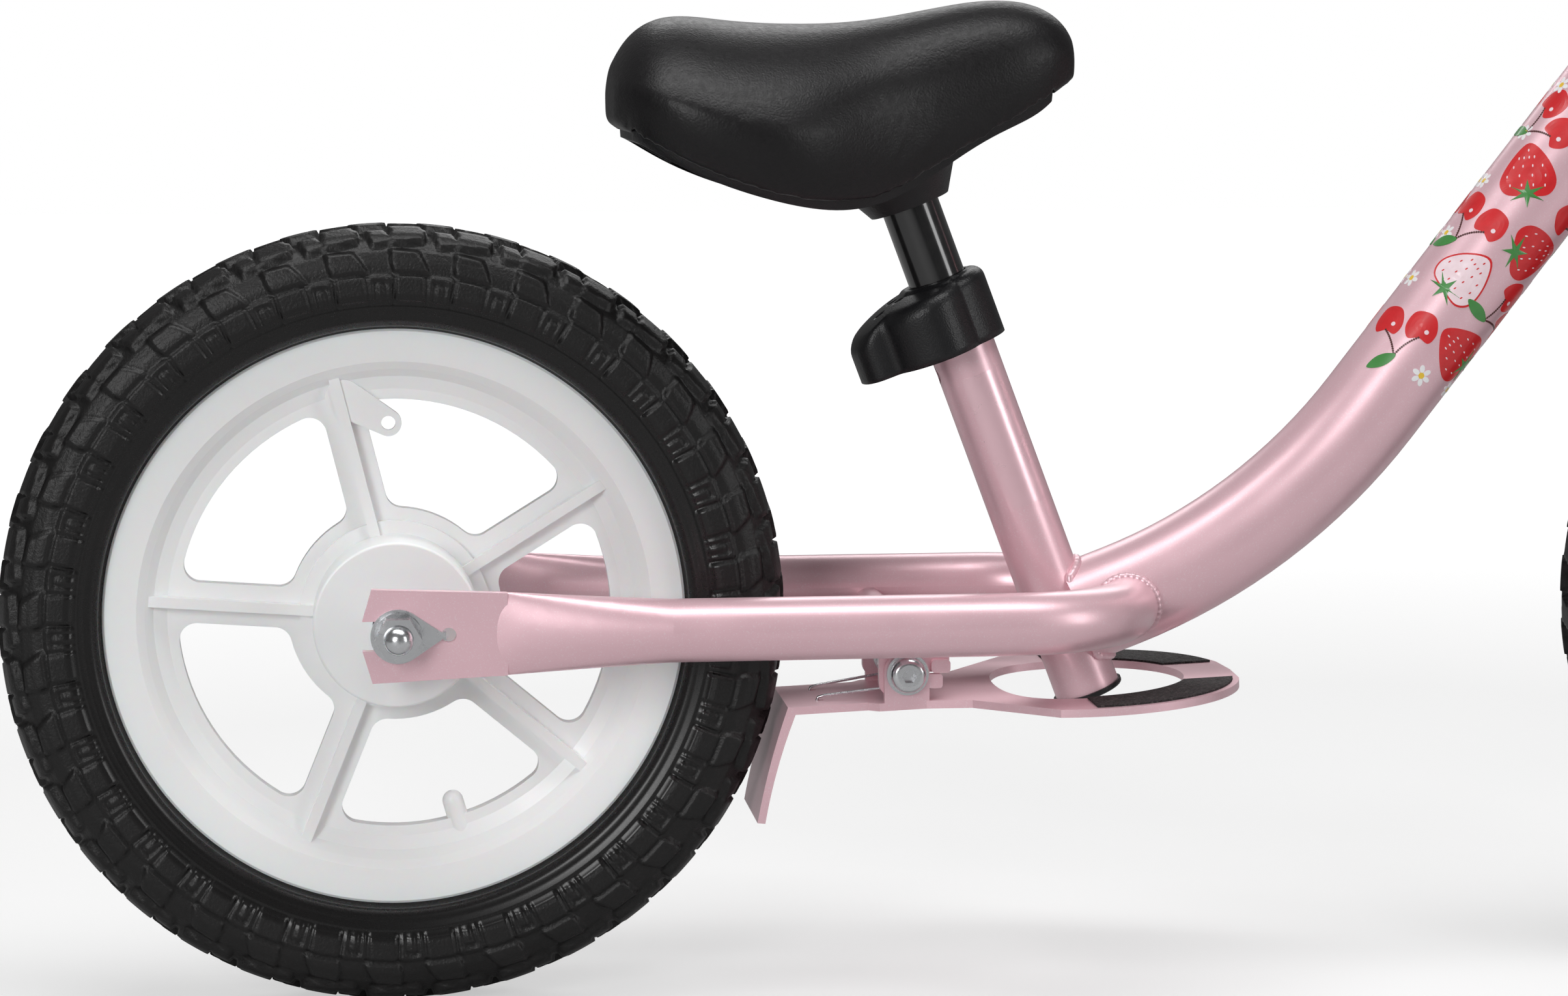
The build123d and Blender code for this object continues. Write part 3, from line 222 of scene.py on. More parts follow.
def floor_finish():
    """Pale card, lit from within where the lens sees it, and more so far away, where it meets the white."""
    finish = Finish("pale_floor", Roughness=0.7, Specular_IOR_Level=0.2, Emission_Strength=1.0)
    finish.colours(finish.noise(3.0), (0.50, 0.50, 0.50), (0.53, 0.53, 0.53))
    distance = finish.node("ShaderNodeVectorMath", {"operation": "LENGTH"}, {0: finish.place}, "Value")
    far = finish.spread(distance, 0.7, 2.4)
    glow = finish.mix(far, shade(0.50, 0.50, 0.50), shade(1.0, 1.0, 1.0))
    seen_directly = finish.node("ShaderNodeLightPath", {}, {}, "Is Camera Ray")
    finish.set("Emission Color", finish.mix(seen_directly, shade(0.0, 0.0, 0.0), glow))
    return finish.material


deselect()
bpy.ops.mesh.primitive_plane_add(size=14.0, location=(0.0, 0.0, -0.0005))
floor = bpy.context.object
floor.name = "floor"
floor.data.materials.append(floor_finish())


def finished(piece, body, material, smooth=True):
    """Gives a new piece its finish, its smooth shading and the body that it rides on."""
    piece.data.materials.clear()
    piece.data.materials.append(material)
    if smooth:
        for face in piece.data.polygons:
            face.use_smooth = True
    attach(piece, body)
    return piece


def mesh_piece(name, points, faces):
    """A new object at the origin, from points in metres and their faces, pointing outwards."""
    mesh = bpy.data.meshes.new(name)
    mesh.from_pydata([tuple(point) for point in points], [], faces)
    shape = bmesh.new()
    shape.from_mesh(mesh)
    bmesh.ops.recalc_face_normals(shape, faces=shape.faces)
    shape.to_mesh(mesh)
    shape.free()
    piece = bpy.data.objects.new(name, mesh)
    bpy.context.collection.objects.link(piece)
    return piece


# ---- Frame: pearl pink painted steel tubes -----------------------------------------------------
# Bent and welded steel tube under a pink metallic base coat with fine mica, and a thin clear
# lacquer. The paint lies a little thicker in places, which shows as a faint unevenness. Glints off the mica
# are painted into the colour as pale pink specks.
def paint_finish():
    finish = Finish("pearl_pink_paint", Coat_Weight=0.30, Coat_Roughness=0.22, Metallic=0.38)
    mica = finish.cells(2600.0, output="Color")
    flake = finish.node("ShaderNodeSeparateColor", {}, {"Color": mica}, "Red")
    # Painted glint: the brightest mica flakes are mixed towards near-white pink in the colour.
    painted_flake_glint = finish.spread(flake, 0.86, 1.0)
    drift = finish.noise(14.0, detail=3.0)
    pink = finish.mix(drift, shade(0.86, 0.555, 0.615), shade(0.89, 0.595, 0.655))
    finish.set("Base Color", finish.mix(painted_flake_glint * 0.3, pink, shade(0.97, 0.86, 0.89)))
    finish.set("Roughness", finish.spread(finish.noise(40.0), 0.3, 0.7, 0.33, 0.40))
    finish.bump(flake * 0.6 + finish.noise(600.0) * 0.4, 0.05, 0.0002)
    return finish


paint = paint_finish()
paint.coat("seat_tube", "main_tube", "head_tube", "right_stay", "left_stay", "brake_bracket",
           "brake_lever", "fork_legs", "fork_steerer")

wheelbase = 608.0 * MM
wheel_radius = 148.0 * MM
rear_axle = Vector((-wheelbase / 2, 0.0, wheel_radius))
front_axle = Vector((wheelbase / 2, 0.0, wheel_radius))


def swept_mesh(name, path, radii, reference=None, sides=10):
    """A bar of metal along a line of points. With a reference direction the line is a closed loop."""
    count, rings, across = len(path), [], reference
    for index, point in enumerate(path):
        if reference:
            ahead = path[(index + 1) % count] - path[index - 1]
            across = reference
        else:
            ahead = path[min(index + 1, count - 1)] - path[max(index - 1, 0)]
        ahead = ahead.normalized()
        across = across if across else ahead.orthogonal()
        across = (across - ahead * across.dot(ahead)).normalized()
        beside = ahead.cross(across)
        turns = [2 * pi * side / sides for side in range(sides)]
        rings.append([point + (across * cos(turn) + beside * sin(turn)) * radii[index] for turn in turns])
    points = [point for ring in rings for point in ring]
    faces = []
    for index in range(count if reference else count - 1):
        here, there = index * sides, (index + 1) % count * sides
        for k in range(sides):
            faces.append((here + k, here + (k + 1) % sides, there + (k + 1) % sides, there + k))
    if not reference:
        faces += [tuple(range(sides)), tuple((count - 1) * sides + k for k in range(sides))]
    return mesh_piece(name, points, faces)


# ---- Welds: beads round the tube joints -----------------------------------------------------------
# Each tube is welded to the next with a hand-laid bead of small overlapping ripples, painted over
# together with the tubes.
seat_tilt = radians(20.6)
seat_across = Vector((cos(seat_tilt), 0.0, sin(seat_tilt)))
seat_up = Vector((-sin(seat_tilt), 0.0, cos(seat_tilt)))
seat_foot = rear_axle + Vector((267.6, 0.0, -34.1)) * MM
head_lean = radians(69.0)
steer_up = Vector((-cos(head_lean), 0.0, sin(head_lean)))
steer_forward = Vector((sin(head_lean), 0.0, cos(head_lean)))
steer_foot = front_axle - steer_forward * 25.0 * MM
main_start = seat_foot + seat_up * 29.0 * MM
main_corner = main_start + seat_across * 88.0 * MM
main_end = steer_foot + steer_up * 250.0 * MM
main_upper = (main_end - main_corner).normalized()
seat_tube_radius, main_tube_radius = 12.7 * MM, 20.0 * MM
head_tube_radius, stay_radius = 17.0 * MM, 11.75 * MM
weld_steps = 240
bead_radius, bead_proud, ripple_length = 1.7 * MM, 0.7 * MM, 2.3 * MM


def weld(name, start, ahead, radius, post, post_up, post_radius, reach_share):
    """A bead where a tube, running ahead from start, meets the outside of a second tube."""
    beside = ahead.cross(post_up).normalized()
    above = beside.cross(ahead).normalized()
    way = ahead - post_up * ahead.dot(post_up)
    path = []
    for step in range(weld_steps):
        turn = 2 * pi * step / weld_steps
        reach = max(-reach_share * post_radius, min(reach_share * post_radius, radius * cos(turn)))
        place = start + beside * reach + above * radius * sin(turn)
        gap = place - post
        gap -= post_up * gap.dot(post_up)
        half, square = gap.dot(way), way.dot(way)
        rest = half * half - square * (gap.dot(gap) - (post_radius + bead_proud) ** 2)
        path.append(place + ahead * ((-half - sqrt(max(0.0, rest))) / square))
    radii, gone = [], 0.0
    for index, point in enumerate(path):
        gone += (point - path[index - 1]).length if index else 0.0
        radii.append(bead_radius * (0.90 + 0.15 * abs(sin(pi * gone / ripple_length))))
    bead = swept_mesh(name, path, radii, reference=ahead)
    finished(bead, "frame", paint.material)


stay_turn = radians(75.0)
stay_end = (281.6 * MM, 10.0 * MM)
for side, name in ((-1, "right"), (1, "left")):
    inward = Vector((cos(stay_turn), -side * sin(stay_turn), 0.0))
    tube_line = rear_axle + Vector((stay_end[0], side * stay_end[1], 0.0)) - inward * 40.0 * MM
    weld(f"{name}_stay_weld", tube_line, inward, stay_radius, main_start, seat_across, main_tube_radius, 0.99)
weld("seat_tube_weld", main_start + seat_across * 60.0 * MM, -seat_across, main_tube_radius,
     seat_foot, seat_up, seat_tube_radius, 0.92)
weld("head_tube_weld", main_end - main_upper * 90.0 * MM, main_upper, main_tube_radius,
     steer_foot, steer_up, head_tube_radius, 0.97)


# ---- Stickers: berries, cherries and daisies on the main tube ----------------------------------------
# Printed film stickers of plain fruit and flowers lie round both flanks of the main tube, under a
# clear film. Each colour is one piece, wrapped on the tube.
lower_angle, upper_angle = seat_tilt, atan2(main_upper.z, main_upper.x)
bend_radius = 225.0 * MM
bend_start = 88.0 * MM - bend_radius * tan((upper_angle - lower_angle) / 2)
bend_length = bend_radius * (upper_angle - lower_angle)


def main_tube_at(along):
    """The main tube's centre and its direction, at a distance along it from the seat tube."""
    if along <= bend_start:
        return main_start + seat_across * along, lower_angle
    gone = min(along - bend_start, bend_length)
    centre = main_start + seat_across * bend_start + seat_up * bend_radius
    angle = lower_angle + gone / bend_radius
    point = centre + Vector((sin(angle), 0.0, -cos(angle))) * bend_radius
    return point + main_upper * max(0.0, along - bend_start - bend_length), angle


def on_main_tube(along, around, lift, flank):
    """A point on the tube: around is measured up from the middle of one flank, all in mm."""
    centre, angle = main_tube_at(along * MM)
    above = Vector((-sin(angle), 0.0, cos(angle)))
    turn = around * MM / main_tube_radius
    outward = Vector((0.0, flank, 0.0)) * cos(turn) + above * sin(turn)
    return centre + outward * (main_tube_radius + lift * MM)


def curved(t, before, start, end, after):
    """A smooth way from start to end that heads for its neighbours."""
    slope, bow = end - before, 2 * before - 5 * start + 4 * end - after
    return 0.5 * (2 * start + slope * t + bow * t * t + (3 * start - before - 3 * end + after) * t ** 3)


def rounded(corners, steps=6):
    """A smooth closed line through a few corners."""
    count, line = len(corners), []
    for index in range(count):
        a, b, c, d = (corners[(index + shift) % count] for shift in (-1, 0, 1, 2))
        for step in range(steps):
            t = step / steps
            line.append(tuple(curved(t, *corner) for corner in zip(a, b, c, d)))
    return line


# Outlines about each shape's own middle, in mm, with the stalk's end up.
berry = rounded([(0, 6.5), (6.3, 6.0), (8.6, 1.5), (5.6, -5.5),
                 (0, -10.5), (-5.6, -5.5), (-8.6, 1.5), (-6.3, 6.0)])
cherry = rounded([(0, 4.0), (3.6, 4.9), (5.3, 1.0), (3.7, -3.8),
                  (0, -5.0), (-3.7, -3.8), (-5.3, 1.0), (-3.6, 4.9)])
leaf = rounded([(0, 5.2), (1.7, 2.0), (1.6, -1.6), (0, -4.4), (-1.6, -1.6), (-1.7, 2.0)], 4)
speck = [(0.22 * cos(pi * k / 4), 0.5 * sin(pi * k / 4)) for k in range(8)]
disc = [(cos(pi * k / 8), sin(pi * k / 8)) for k in range(16)]
crown_tips = [((4.6, 1.3)[k % 2], pi * k / 6 + pi / 2) for k in range(12)]
crown = [(reach * cos(turn), reach * sin(turn) * 0.75) for reach, turn in crown_tips]
petal = [(0.80 * cos(pi * k / 6), 1.25 * sin(pi * k / 6)) for k in range(12)]


class Film:
    """One colour of printed film: its shapes are gathered here and become one piece."""

    def __init__(self, name, colour, lift):
        self.name, self.colour, self.lift = name, colour, lift
        self.points, self.faces = [], []

    def put(self, outline, middle, turn=0.0, size=1.0, flank=-1, shift=(0.0, 0.0), lift=0.0):
        """Lays one shape on the tube: shift is a move before the turn, as a petal's is."""
        first, count, rings = len(self.points), len(outline), 4
        turned = []
        for x, y in outline:
            x, y = (x + shift[0]) * size * sticker_size, (y + shift[1]) * size * sticker_size
            turned.append((x * cos(turn) - y * sin(turn), x * sin(turn) + y * cos(turn)))
        heart = (sum(x for x, y in turned) / count, sum(y for x, y in turned) / count)
        for level in (self.lift + lift, -0.05):
            self.points.append(on_main_tube(middle[0] + heart[0], middle[1] + heart[1], level, flank))
            for ring in range(1, rings + 1):
                for x, y in turned:
                    x, y = (centre + (edge - centre) * ring / rings for centre, edge in zip(heart, (x, y)))
                    self.points.append(on_main_tube(middle[0] + x, middle[1] + y, level, flank))
        half = 1 + rings * count
        for base in (first, first + half):
            for k in range(count):
                self.faces.append((base, base + 1 + k, base + 1 + (k + 1) % count))
                for ring in range(rings - 1):
                    low, high = base + 1 + ring * count, base + 1 + (ring + 1) * count
                    self.faces.append((low + k, high + k, high + (k + 1) % count, low + (k + 1) % count))
        edge = 1 + (rings - 1) * count
        for k in range(count):
            here, there = first + edge, first + half + edge
            self.faces.append((here + k, there + k, there + (k + 1) % count, here + (k + 1) % count))

    def lay(self):
        finish = Finish(self.name, Coat_Weight=0.5, Coat_Roughness=0.12)
        pale = tuple(min(1.0, 1.35 * part + 0.01) for part in self.colour)
        finish.colours(finish.noise(220.0, detail=3.0), self.colour, pale)
        finish.set("Roughness", finish.spread(finish.noise(90.0), 0.3, 0.7, 0.30, 0.40))
        finish.bump(finish.noise(500.0), 0.03, 0.0002)
        piece = mesh_piece(self.name, self.points, self.faces)
        piece.data.materials.append(finish.material)
        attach(piece, "frame")


sticker_size = 1.28
red = Film("red_fruit_film", (0.56, 0.010, 0.014), 0.10)
blush = Film("blush_berry_film", (0.83, 0.62, 0.66), 0.14)
green = Film("green_leaf_film", (0.045, 0.22, 0.045), 0.20)
stalk = Film("brown_stalk_film", (0.07, 0.015, 0.014), 0.12)
white = Film("white_petal_film", (0.86, 0.85, 0.87), 0.12)
yellow = Film("yellow_heart_film", (0.80, 0.50, 0.03), 0.18)


def berry_at(along, around, turn, flank, pale=False):
    red.put(berry, (along, around), turn, 1.0, flank)
    seeds = red if pale else blush
    if pale:
        blush.put(berry, (along, around), turn, 0.93, flank)
    for row, (y, half) in enumerate(((3.2, 5.2), (0.2, 5.8), (-2.8, 4.4), (-5.6, 2.4), (-8.0, 0.6))):
        for x in (-half, -half / 3, half / 3, half) if half > 1 else (0.0,):
            place = (x + 0.5 * (row % 2), y)
            seeds.put(speck, (along, around), turn, 1.0, flank, place, 0.06 if pale else 0.0)
    green.put(crown, (along, around), turn, 1.25, flank, (0.0, 4.6))


def stem_line(start, end, bow, flank):
    """A thin curved stalk between two places on the tube."""
    across = (start[1] - end[1], end[0] - start[0])
    middle = [(start[k] + end[k]) / 2 + across[k] * bow for k in (0, 1)]
    for step in range(14):
        t = step / 13
        place = [(1 - t) ** 2 * start[k] + 2 * t * (1 - t) * middle[k] + t * t * end[k] for k in (0, 1)]
        stalk.put(disc, place, 0.0, 0.34, flank)


def cherries_at(along, around, turn, flank):
    stalk_reach, half_spread, berry_top = (length * sticker_size for length in (11.0, 5.4, 3.6))
    top = (along + stalk_reach * cos(turn + pi / 2), around + stalk_reach * sin(turn + pi / 2))
    for shift, bow in ((-half_spread, 0.14), (half_spread, -0.14)):
        place = (along + shift * cos(turn), around + shift * sin(turn))
        upward = turn + pi / 2
        stem_line(top, (place[0] + berry_top * cos(upward), place[1] + berry_top * sin(upward)), bow, flank)
        red.put(cherry, place, turn, 0.92, flank)
        blush.put(disc, place, turn, 0.7, flank, (-2.6, 2.0))
    green.put(leaf, top, turn - 0.9, 1.0, flank, (0.0, 3.6))


def daisy_at(along, around, flank, size=1.0):
    for index in range(6):
        white.put(petal, (along, around), pi * index / 3, size, flank, (0.0, 2.0))
    yellow.put(disc, (along, around), 0.0, size * 0.95, flank)


# Places: distance along the tube, distance up from the middle of the flank, and turn.
berries = ((184, -12, 2.9, False), (207, 8, 1.2, True), (231, -9, 0.5, False), (254, 12, 2.2, False),
           (277, -10, 1.0, True), (301, 8, 2.7, False))
cherry_pairs = ((181, 15, 1.9), (209, -21, 0.7), (232, 18, 1.4), (256, -17, 2.5), (279, 17, 0.9),
                (303, -20, 1.7))
daisies = ((168, -3, 1.0), (171, -21, 0.9), (196, -28, 0.8), (197, 27, 0.95), (219, 27, 0.9), (222, -28, 0.9),
           (244, 29, 0.9), (243, -27, 1.0), (267, -27, 0.85), (268, 26, 0.9), (291, 26, 0.95), (309, 26, 0.9))
for flank in (-1, 1):
    for along, around, turn, pale in berries:
        berry_at(along, around, turn, flank, pale)
    for along, around, turn in cherry_pairs:
        cherries_at(along, around, turn, flank)
    for along, around, size in daisies:
        daisy_at(along, around, flank, size)
for film in (red, blush, green, stalk, white, yellow):
    film.lay()


# ---- Seat tube film: a blank clear sticker ------------------------------------------------------------
# A rounded rectangle of clear glossy film lies on the seat tube's flank. Nothing is printed on it.
film_low, film_high, film_from, film_to, film_lift = 78.0, 132.0, -28.0, 52.0, 0.14


def clear_film():
    columns, rows, points, faces = 60, 4, [], []
    for lift in (film_lift, -0.4):
        for row in range(rows + 1):
            for column in range(columns + 1):
                across = radians(film_from + (film_to - film_from) * column / columns)
                height = film_low + (film_high - film_low) * row / rows
                outward = seat_across * sin(across) - Vector((0.0, 1.0, 0.0)) * cos(across)
                points.append(seat_foot + seat_up * height * MM + outward * (seat_tube_radius + lift * MM))
    width, layer = columns + 1, (columns + 1) * (rows + 1)
    for base in (0, layer):
        for row in range(rows):
            for column in range(columns):
                low = base + row * width + column
                faces.append((low, low + 1, low + 1 + width, low + width))
    rim = [c for c in range(columns)] + [r * width + columns for r in range(rows)]
    rim += [rows * width + c for c in range(columns, 0, -1)] + [r * width for r in range(rows, 0, -1)]
    for here, there in zip(rim, rim[1:] + rim[:1]):
        faces.append((here, there, there + layer, here + layer))
    piece = mesh_piece("seat_tube_film", points, faces)
    finish = Finish("clear_sticker_film", Coat_Weight=0.7, Coat_Roughness=0.12, Metallic=0.38)
    finish.colours(finish.noise(60.0), (0.87, 0.57, 0.63), (0.89, 0.61, 0.665))
    finish.set("Roughness", finish.spread(finish.noise(120.0), 0.3, 0.7, 0.26, 0.34))
    finish.bump(finish.noise(300.0), 0.05, 0.0002)
    finished(piece, "frame", finish.material, smooth=False)


clear_film()


# ---- Tyres: moulded black foam with a blocky off-road tread -------------------------------------
# One closed ring of foam, moulded in a split tool. 36 repeats of the same blocks run round it:
# slanted knobs on the crown, angled plates on the shoulders, and flat tiles with a square arch
# on the walls. Below them are smooth ridges down to the rim.
tread_repeats = 36
steps_in_repeat = 24
tread_pitch = 25.0 * MM
# The section from the middle of the tread to the bead: distance from the mid plane, and radius.
tyre_section = (
    (0.0, 145.0), (11.0, 144.6), (17.0, 142.4), (21.2, 138.4), (23.2, 133.8), (23.6, 128.0),
    (23.5, 122.4), (22.9, 119.0), (22.2, 115.8), (21.4, 112.6), (19.6, 110.5), (15.8, 109.9),
)
# Raised blocks: corners as (share of a repeat, distance along the section in mm), and height.
tread_blocks = (
    (((0.06, -7.5), (0.50, -9.5), (0.64, 0.0), (0.50, 9.5), (0.06, 7.5), (0.20, 0.0)), 3.0),
    (((0.62, 9.0), (1.06, 10.5), (1.00, 21.0), (0.52, 19.5), (0.48, 14.0)), 2.6),
    (((0.10, 12.5), (0.40, 12.5), (0.30, 21.5), (-0.02, 20.5)), 2.0),
    (((0.38, 31.5), (0.60, 23.2), (1.04, 22.8), (1.02, 27.5), (0.98, 31.5)), 2.1),
    (((-0.01, 32.4), (0.42, 32.4), (0.40, 42.6), (0.02, 42.6)), 1.7),
    (((0.46, 32.4), (0.95, 32.4), (0.95, 42.6), (0.44, 42.6)), 1.9),
)
# The square arch on each narrow tile: its two legs and its bar, cut into the tile.
tile_arch = (
    (((0.085, 35.2), (0.125, 35.2), (0.125, 42.0), (0.085, 42.0)), -1.5),
    (((0.285, 35.2), (0.325, 35.2), (0.325, 42.0), (0.285, 42.0)), -1.5),
    (((0.085, 34.2), (0.325, 34.2), (0.325, 35.4), (0.085, 35.4)), -1.5),
)
# One short bar stands on each shoulder plate.
plate_bars = (
    (((0.64, 24.2), (0.98, 24.0), (0.98, 25.6), (0.62, 25.8)), 0.5),
)
wall_ridges = ((44.6, 0.9, 0.7), (48.4, 0.5, 0.45), (51.8, 0.5, 0.45), (55.2, 0.7, 0.5))


def inside_distance(point, corners):
    """How far a point lies inside a polygon, in mm; outside it is negative."""
    nearest, inside = 1e9, False
    for start, end in zip(corners, corners[1:] + corners[:1]):
        along = (end[0] - start[0], end[1] - start[1])
        away = (point[0] - start[0], point[1] - start[1])
        share = (away[0] * along[0] + away[1] * along[1]) / (along[0] ** 2 + along[1] ** 2)
        share = min(1.0, max(0.0, share))
        nearest = min(nearest, hypot(away[0] - share * along[0], away[1] - share * along[1]))
        if (start[1] > point[1]) != (end[1] > point[1]):
            crossing = start[0] + (point[1] - start[1]) * along[0] / along[1]
            inside = inside != (point[0] < crossing)
    return nearest if inside else -nearest


def smooth_step(value, low, high):
    share = min(1.0, max(0.0, (value - low) / (high - low)))
    return share * share * (3 - 2 * share)


def block_height(share, along, blocks, edge):
    """The highest block, or the deepest cut, at a place on the tread."""
    pitch = tread_pitch / MM
    best = 0.0
    for corners, height in blocks:
        for shift in (-1, 0, 1):
            outline = [((x + shift) * pitch, y) for x, y in corners]
            rise = height * smooth_step(inside_distance((share * pitch, along), outline), -edge, edge)
            if abs(rise) > abs(best):
                best = rise
    return best


def tread_height(share, along):
    """The foam's height over the carcass, in mm, at a share of a repeat and a distance along the section."""
    height = block_height(share, along, tread_blocks, 0.45)
    height += block_height(share, along, tile_arch, 0.35) + block_height(share, along, plate_bars, 0.35)
    for place, half_width, rise in wall_ridges:
        height += rise * (1 - smooth_step(abs(along - place), 0.0, half_width * 2))
    return height


def section_point(along):
    """Distance from the mid plane and radius at a distance along the section, in mm."""
    gone = 0.0
    for start, end in zip(tyre_section, tyre_section[1:]):
        length = hypot(end[0] - start[0], end[1] - start[1])
        if along <= gone + length or end is tyre_section[-1]:
            share = (along - gone) / length
            return (start[0] + share * (end[0] - start[0]), start[1] + share * (end[1] - start[1]))
        gone += length


def section_length():
    pairs = zip(tyre_section, tyre_section[1:])
    return sum(hypot(b[0] - a[0], b[1] - a[1]) for a, b in pairs)


def section_rows():
    """The section's stations from the crown to one bead: close together where the tread has detail."""
    detail_end, stations = 45, [float(mm) for mm in range(0, 46)]
    plain = section_length() - detail_end
    return stations + [detail_end + plain * step / 9 for step in range(1, 10)]


def tyre_mesh(name, axle):
    rows = section_rows()
    half = []
    for along in rows:
        before, here, after = (section_point(max(0.0, along - 0.6)), section_point(along),
                               section_point(min(section_length(), along + 0.6)))
        slope = (after[0] - before[0], after[1] - before[1])
        size = hypot(*slope)
        half.append((here, (-slope[1] / size, slope[0] / size) if along else (0.0, 1.0)))
    ring = []
    for side in (-1, 1):
        order = range(len(rows) - 1, -1, -1) if side < 0 else range(1, len(rows))
        for row in order:
            ring.append((side, rows[row], half[row]))
    bed = ((13.6, 108.4), (10.2, 104.4), (-10.2, 104.4), (-13.6, 108.4))
    points, faces = [], []
    heights = {}
    columns = tread_repeats * steps_in_repeat
    for column in range(columns):
        angle = 2 * pi * column / columns
        step = column % steps_in_repeat
        for side, along, (place, normal) in ring:
            key = (step, along)
            if key not in heights:
                heights[key] = tread_height(step / steps_in_repeat, along)
            height = heights[key]
            across = side * (place[0] + abs(normal[0]) * height) * MM
            radius = min((place[1] + abs(normal[1]) * height) * MM, wheel_radius)
            points.append(axle + Vector((radius * cos(angle), across, radius * sin(angle))))
        for across, radius in bed:
            points.append(axle + Vector((radius * MM * cos(angle), across * MM, radius * MM * sin(angle))))
    size = len(ring) + len(bed)
    for column in range(columns):
        following = (column + 1) % columns
        for row in range(size):
            beside = (row + 1) % size
            here, there = column * size, following * size
            faces.append((here + row, here + beside, there + beside, there + row))
    return mesh_piece(name, points, faces)


def foam_finish(name, axle):
    """Black foam: the blocks have a fine leathery grain, the ridges near the rim are smooth."""
    finish = Finish(name, Specular_IOR_Level=0.4)
    offset = finish.node("ShaderNodeVectorMath", {"operation": "SUBTRACT"}, {0: finish.place, 1: tuple(axle)})
    flat = finish.node("ShaderNodeVectorMath", {"operation": "MULTIPLY"}, {0: offset, 1: (1.0, 0.0, 1.0)})
    radius = finish.node("ShaderNodeVectorMath", {"operation": "LENGTH"}, {0: flat}, "Value")
    tread = finish.spread(radius, 0.1215, 0.1230)
    grain = finish.noise(900.0, detail=3.0, roughness=0.6)
    finish.colours(finish.noise(60.0), (0.004, 0.004, 0.004), (0.009, 0.008, 0.008))
    finish.set("Roughness", 0.24 + tread * 0.14 + grain * 0.08)
    finish.bump(grain * tread, 0.55, 0.0004)
    return finish.material


for wheel, axle in (("rear", rear_axle), ("front", front_axle)):
    tyre = tyre_mesh(f"{wheel}_foam_tyre", axle)
    finished(tyre, f"{wheel}_wheel", foam_finish(f"{wheel}_foam", axle))
    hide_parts(f"{wheel}_tyre")


# ---- Wheels: white moulded plastic --------------------------------------------------------------
# Each wheel is one injection moulding in milky white plastic, with a smooth press-in cap on each
# side of the hub. Light passes a little way in, so its edges look soft.
def wheel_finish():
    finish = Finish("milky_white_plastic", Subsurface_Weight=0.25, Subsurface_Scale=0.004, Coat_Weight=0.1)
    flow = finish.noise(22.0, detail=4.0)
    finish.colours(flow, (0.93, 0.935, 0.94), (0.96, 0.96, 0.96))
    finish.set("Roughness", finish.spread(finish.noise(35.0), 0.3, 0.7, 0.30, 0.40))
    finish.bump(finish.noise(260.0) + flow, 0.04, 0.0004)
    return finish


wheel_finish().coat("rear_wheel", "front_wheel", "rear_hub_caps", "front_hub_caps")


# ---- Fittings: zinc-plated steel -------------------------------------------------------------------
# Axles, nuts, washers, bolts, bearings and the headset's rings are bright zinc-plated steel. The
# plating has small dull patches.
def zinc_finish():
    finish = Finish("zinc_plated_steel", Metallic=1.0)
    patches = finish.noise(240.0, detail=4.0)
    finish.colours(patches, (0.62, 0.63, 0.65), (0.82, 0.83, 0.85))
    finish.set("Roughness", finish.spread(patches, 0.3, 0.7, 0.16, 0.34))
    finish.bump(finish.noise(900.0), 0.12, 0.0002)
    return finish


zinc = zinc_finish()
subparts = frame["record"]["subparts"]
zinc.coat(*[entry["node"] for entry in subparts if entry["material_slot"] == "zinc_steel"])


# ---- Gloss black: seat post, stem, handlebar and clamp band -----------------------------------------
# Steel tube under a deep black gloss, with light rubbing along the post from height changes.
def gloss_black_finish():
    finish = Finish("gloss_black_paint", Coat_Weight=0.8, Coat_Roughness=0.06)
    wear = finish.noise(120.0, detail=5.0)
    finish.colours(wear, (0.006, 0.006, 0.007), (0.013, 0.012, 0.012))
    finish.set("Roughness", finish.spread(wear, 0.35, 0.7, 0.14, 0.26))
    finish.bump(finish.noise(500.0), 0.03, 0.0002)
    return finish


gloss_black = gloss_black_finish()
gloss_black.coat("seat_post", "stem", "handlebar", "clamp_band")


# ---- Moulded black plastic: tube plug, saddle base and clamp cover -----------------------------------
def moulded_black_finish():
    finish = Finish("moulded_black_plastic", Specular_IOR_Level=0.4)
    grain = finish.cells(1500.0)
    finish.colours(finish.noise(50.0), (0.005, 0.005, 0.006), (0.010, 0.010, 0.011))
    finish.set("Roughness", finish.spread(finish.noise(45.0), 0.3, 0.7, 0.34, 0.46))
    finish.bump(grain, 0.25, 0.0003)
    return finish


moulded_black = moulded_black_finish()
moulded_black.coat("seat_tube_plug", "saddle_base")

# The clamp cover's outline in the seat tube's own frame: forward of its axis and half width, mm.
cover_outline = (
    (-41.0, 0.0), (-40.6, 5.0), (-39.4, 9.5), (-36.6, 13.2), (-33.4, 14.6), (-30.6, 14.2),
    (-28.2, 13.9), (-26.2, 15.2), (-24.0, 18.2), (-20.0, 21.9), (-15.0, 24.3), (-10.0, 25.2),
    (-5.0, 24.6), (-1.0, 22.9), (2.4, 20.2), (4.3, 17.7), (5.2, 16.9),
)
cover_bottom, cover_edge_radius, cover_wall, post_hole_radius = 143.0, 4.5, 2.2, 11.7
cover_holes = ((-17.5, -6.5), (-19.5, -1.5), (-19.5, 4.0), (-17.0, 9.5), (-26.0, -5.0))
hole_half_length, hole_half_width = 2.1, 1.3


def cover_top(x):
    """The roof falls away behind the post."""
    return 170.5 - 13.0 * min(1.0, max(0.0, (-x - 4.0) / 38.0)) ** 2


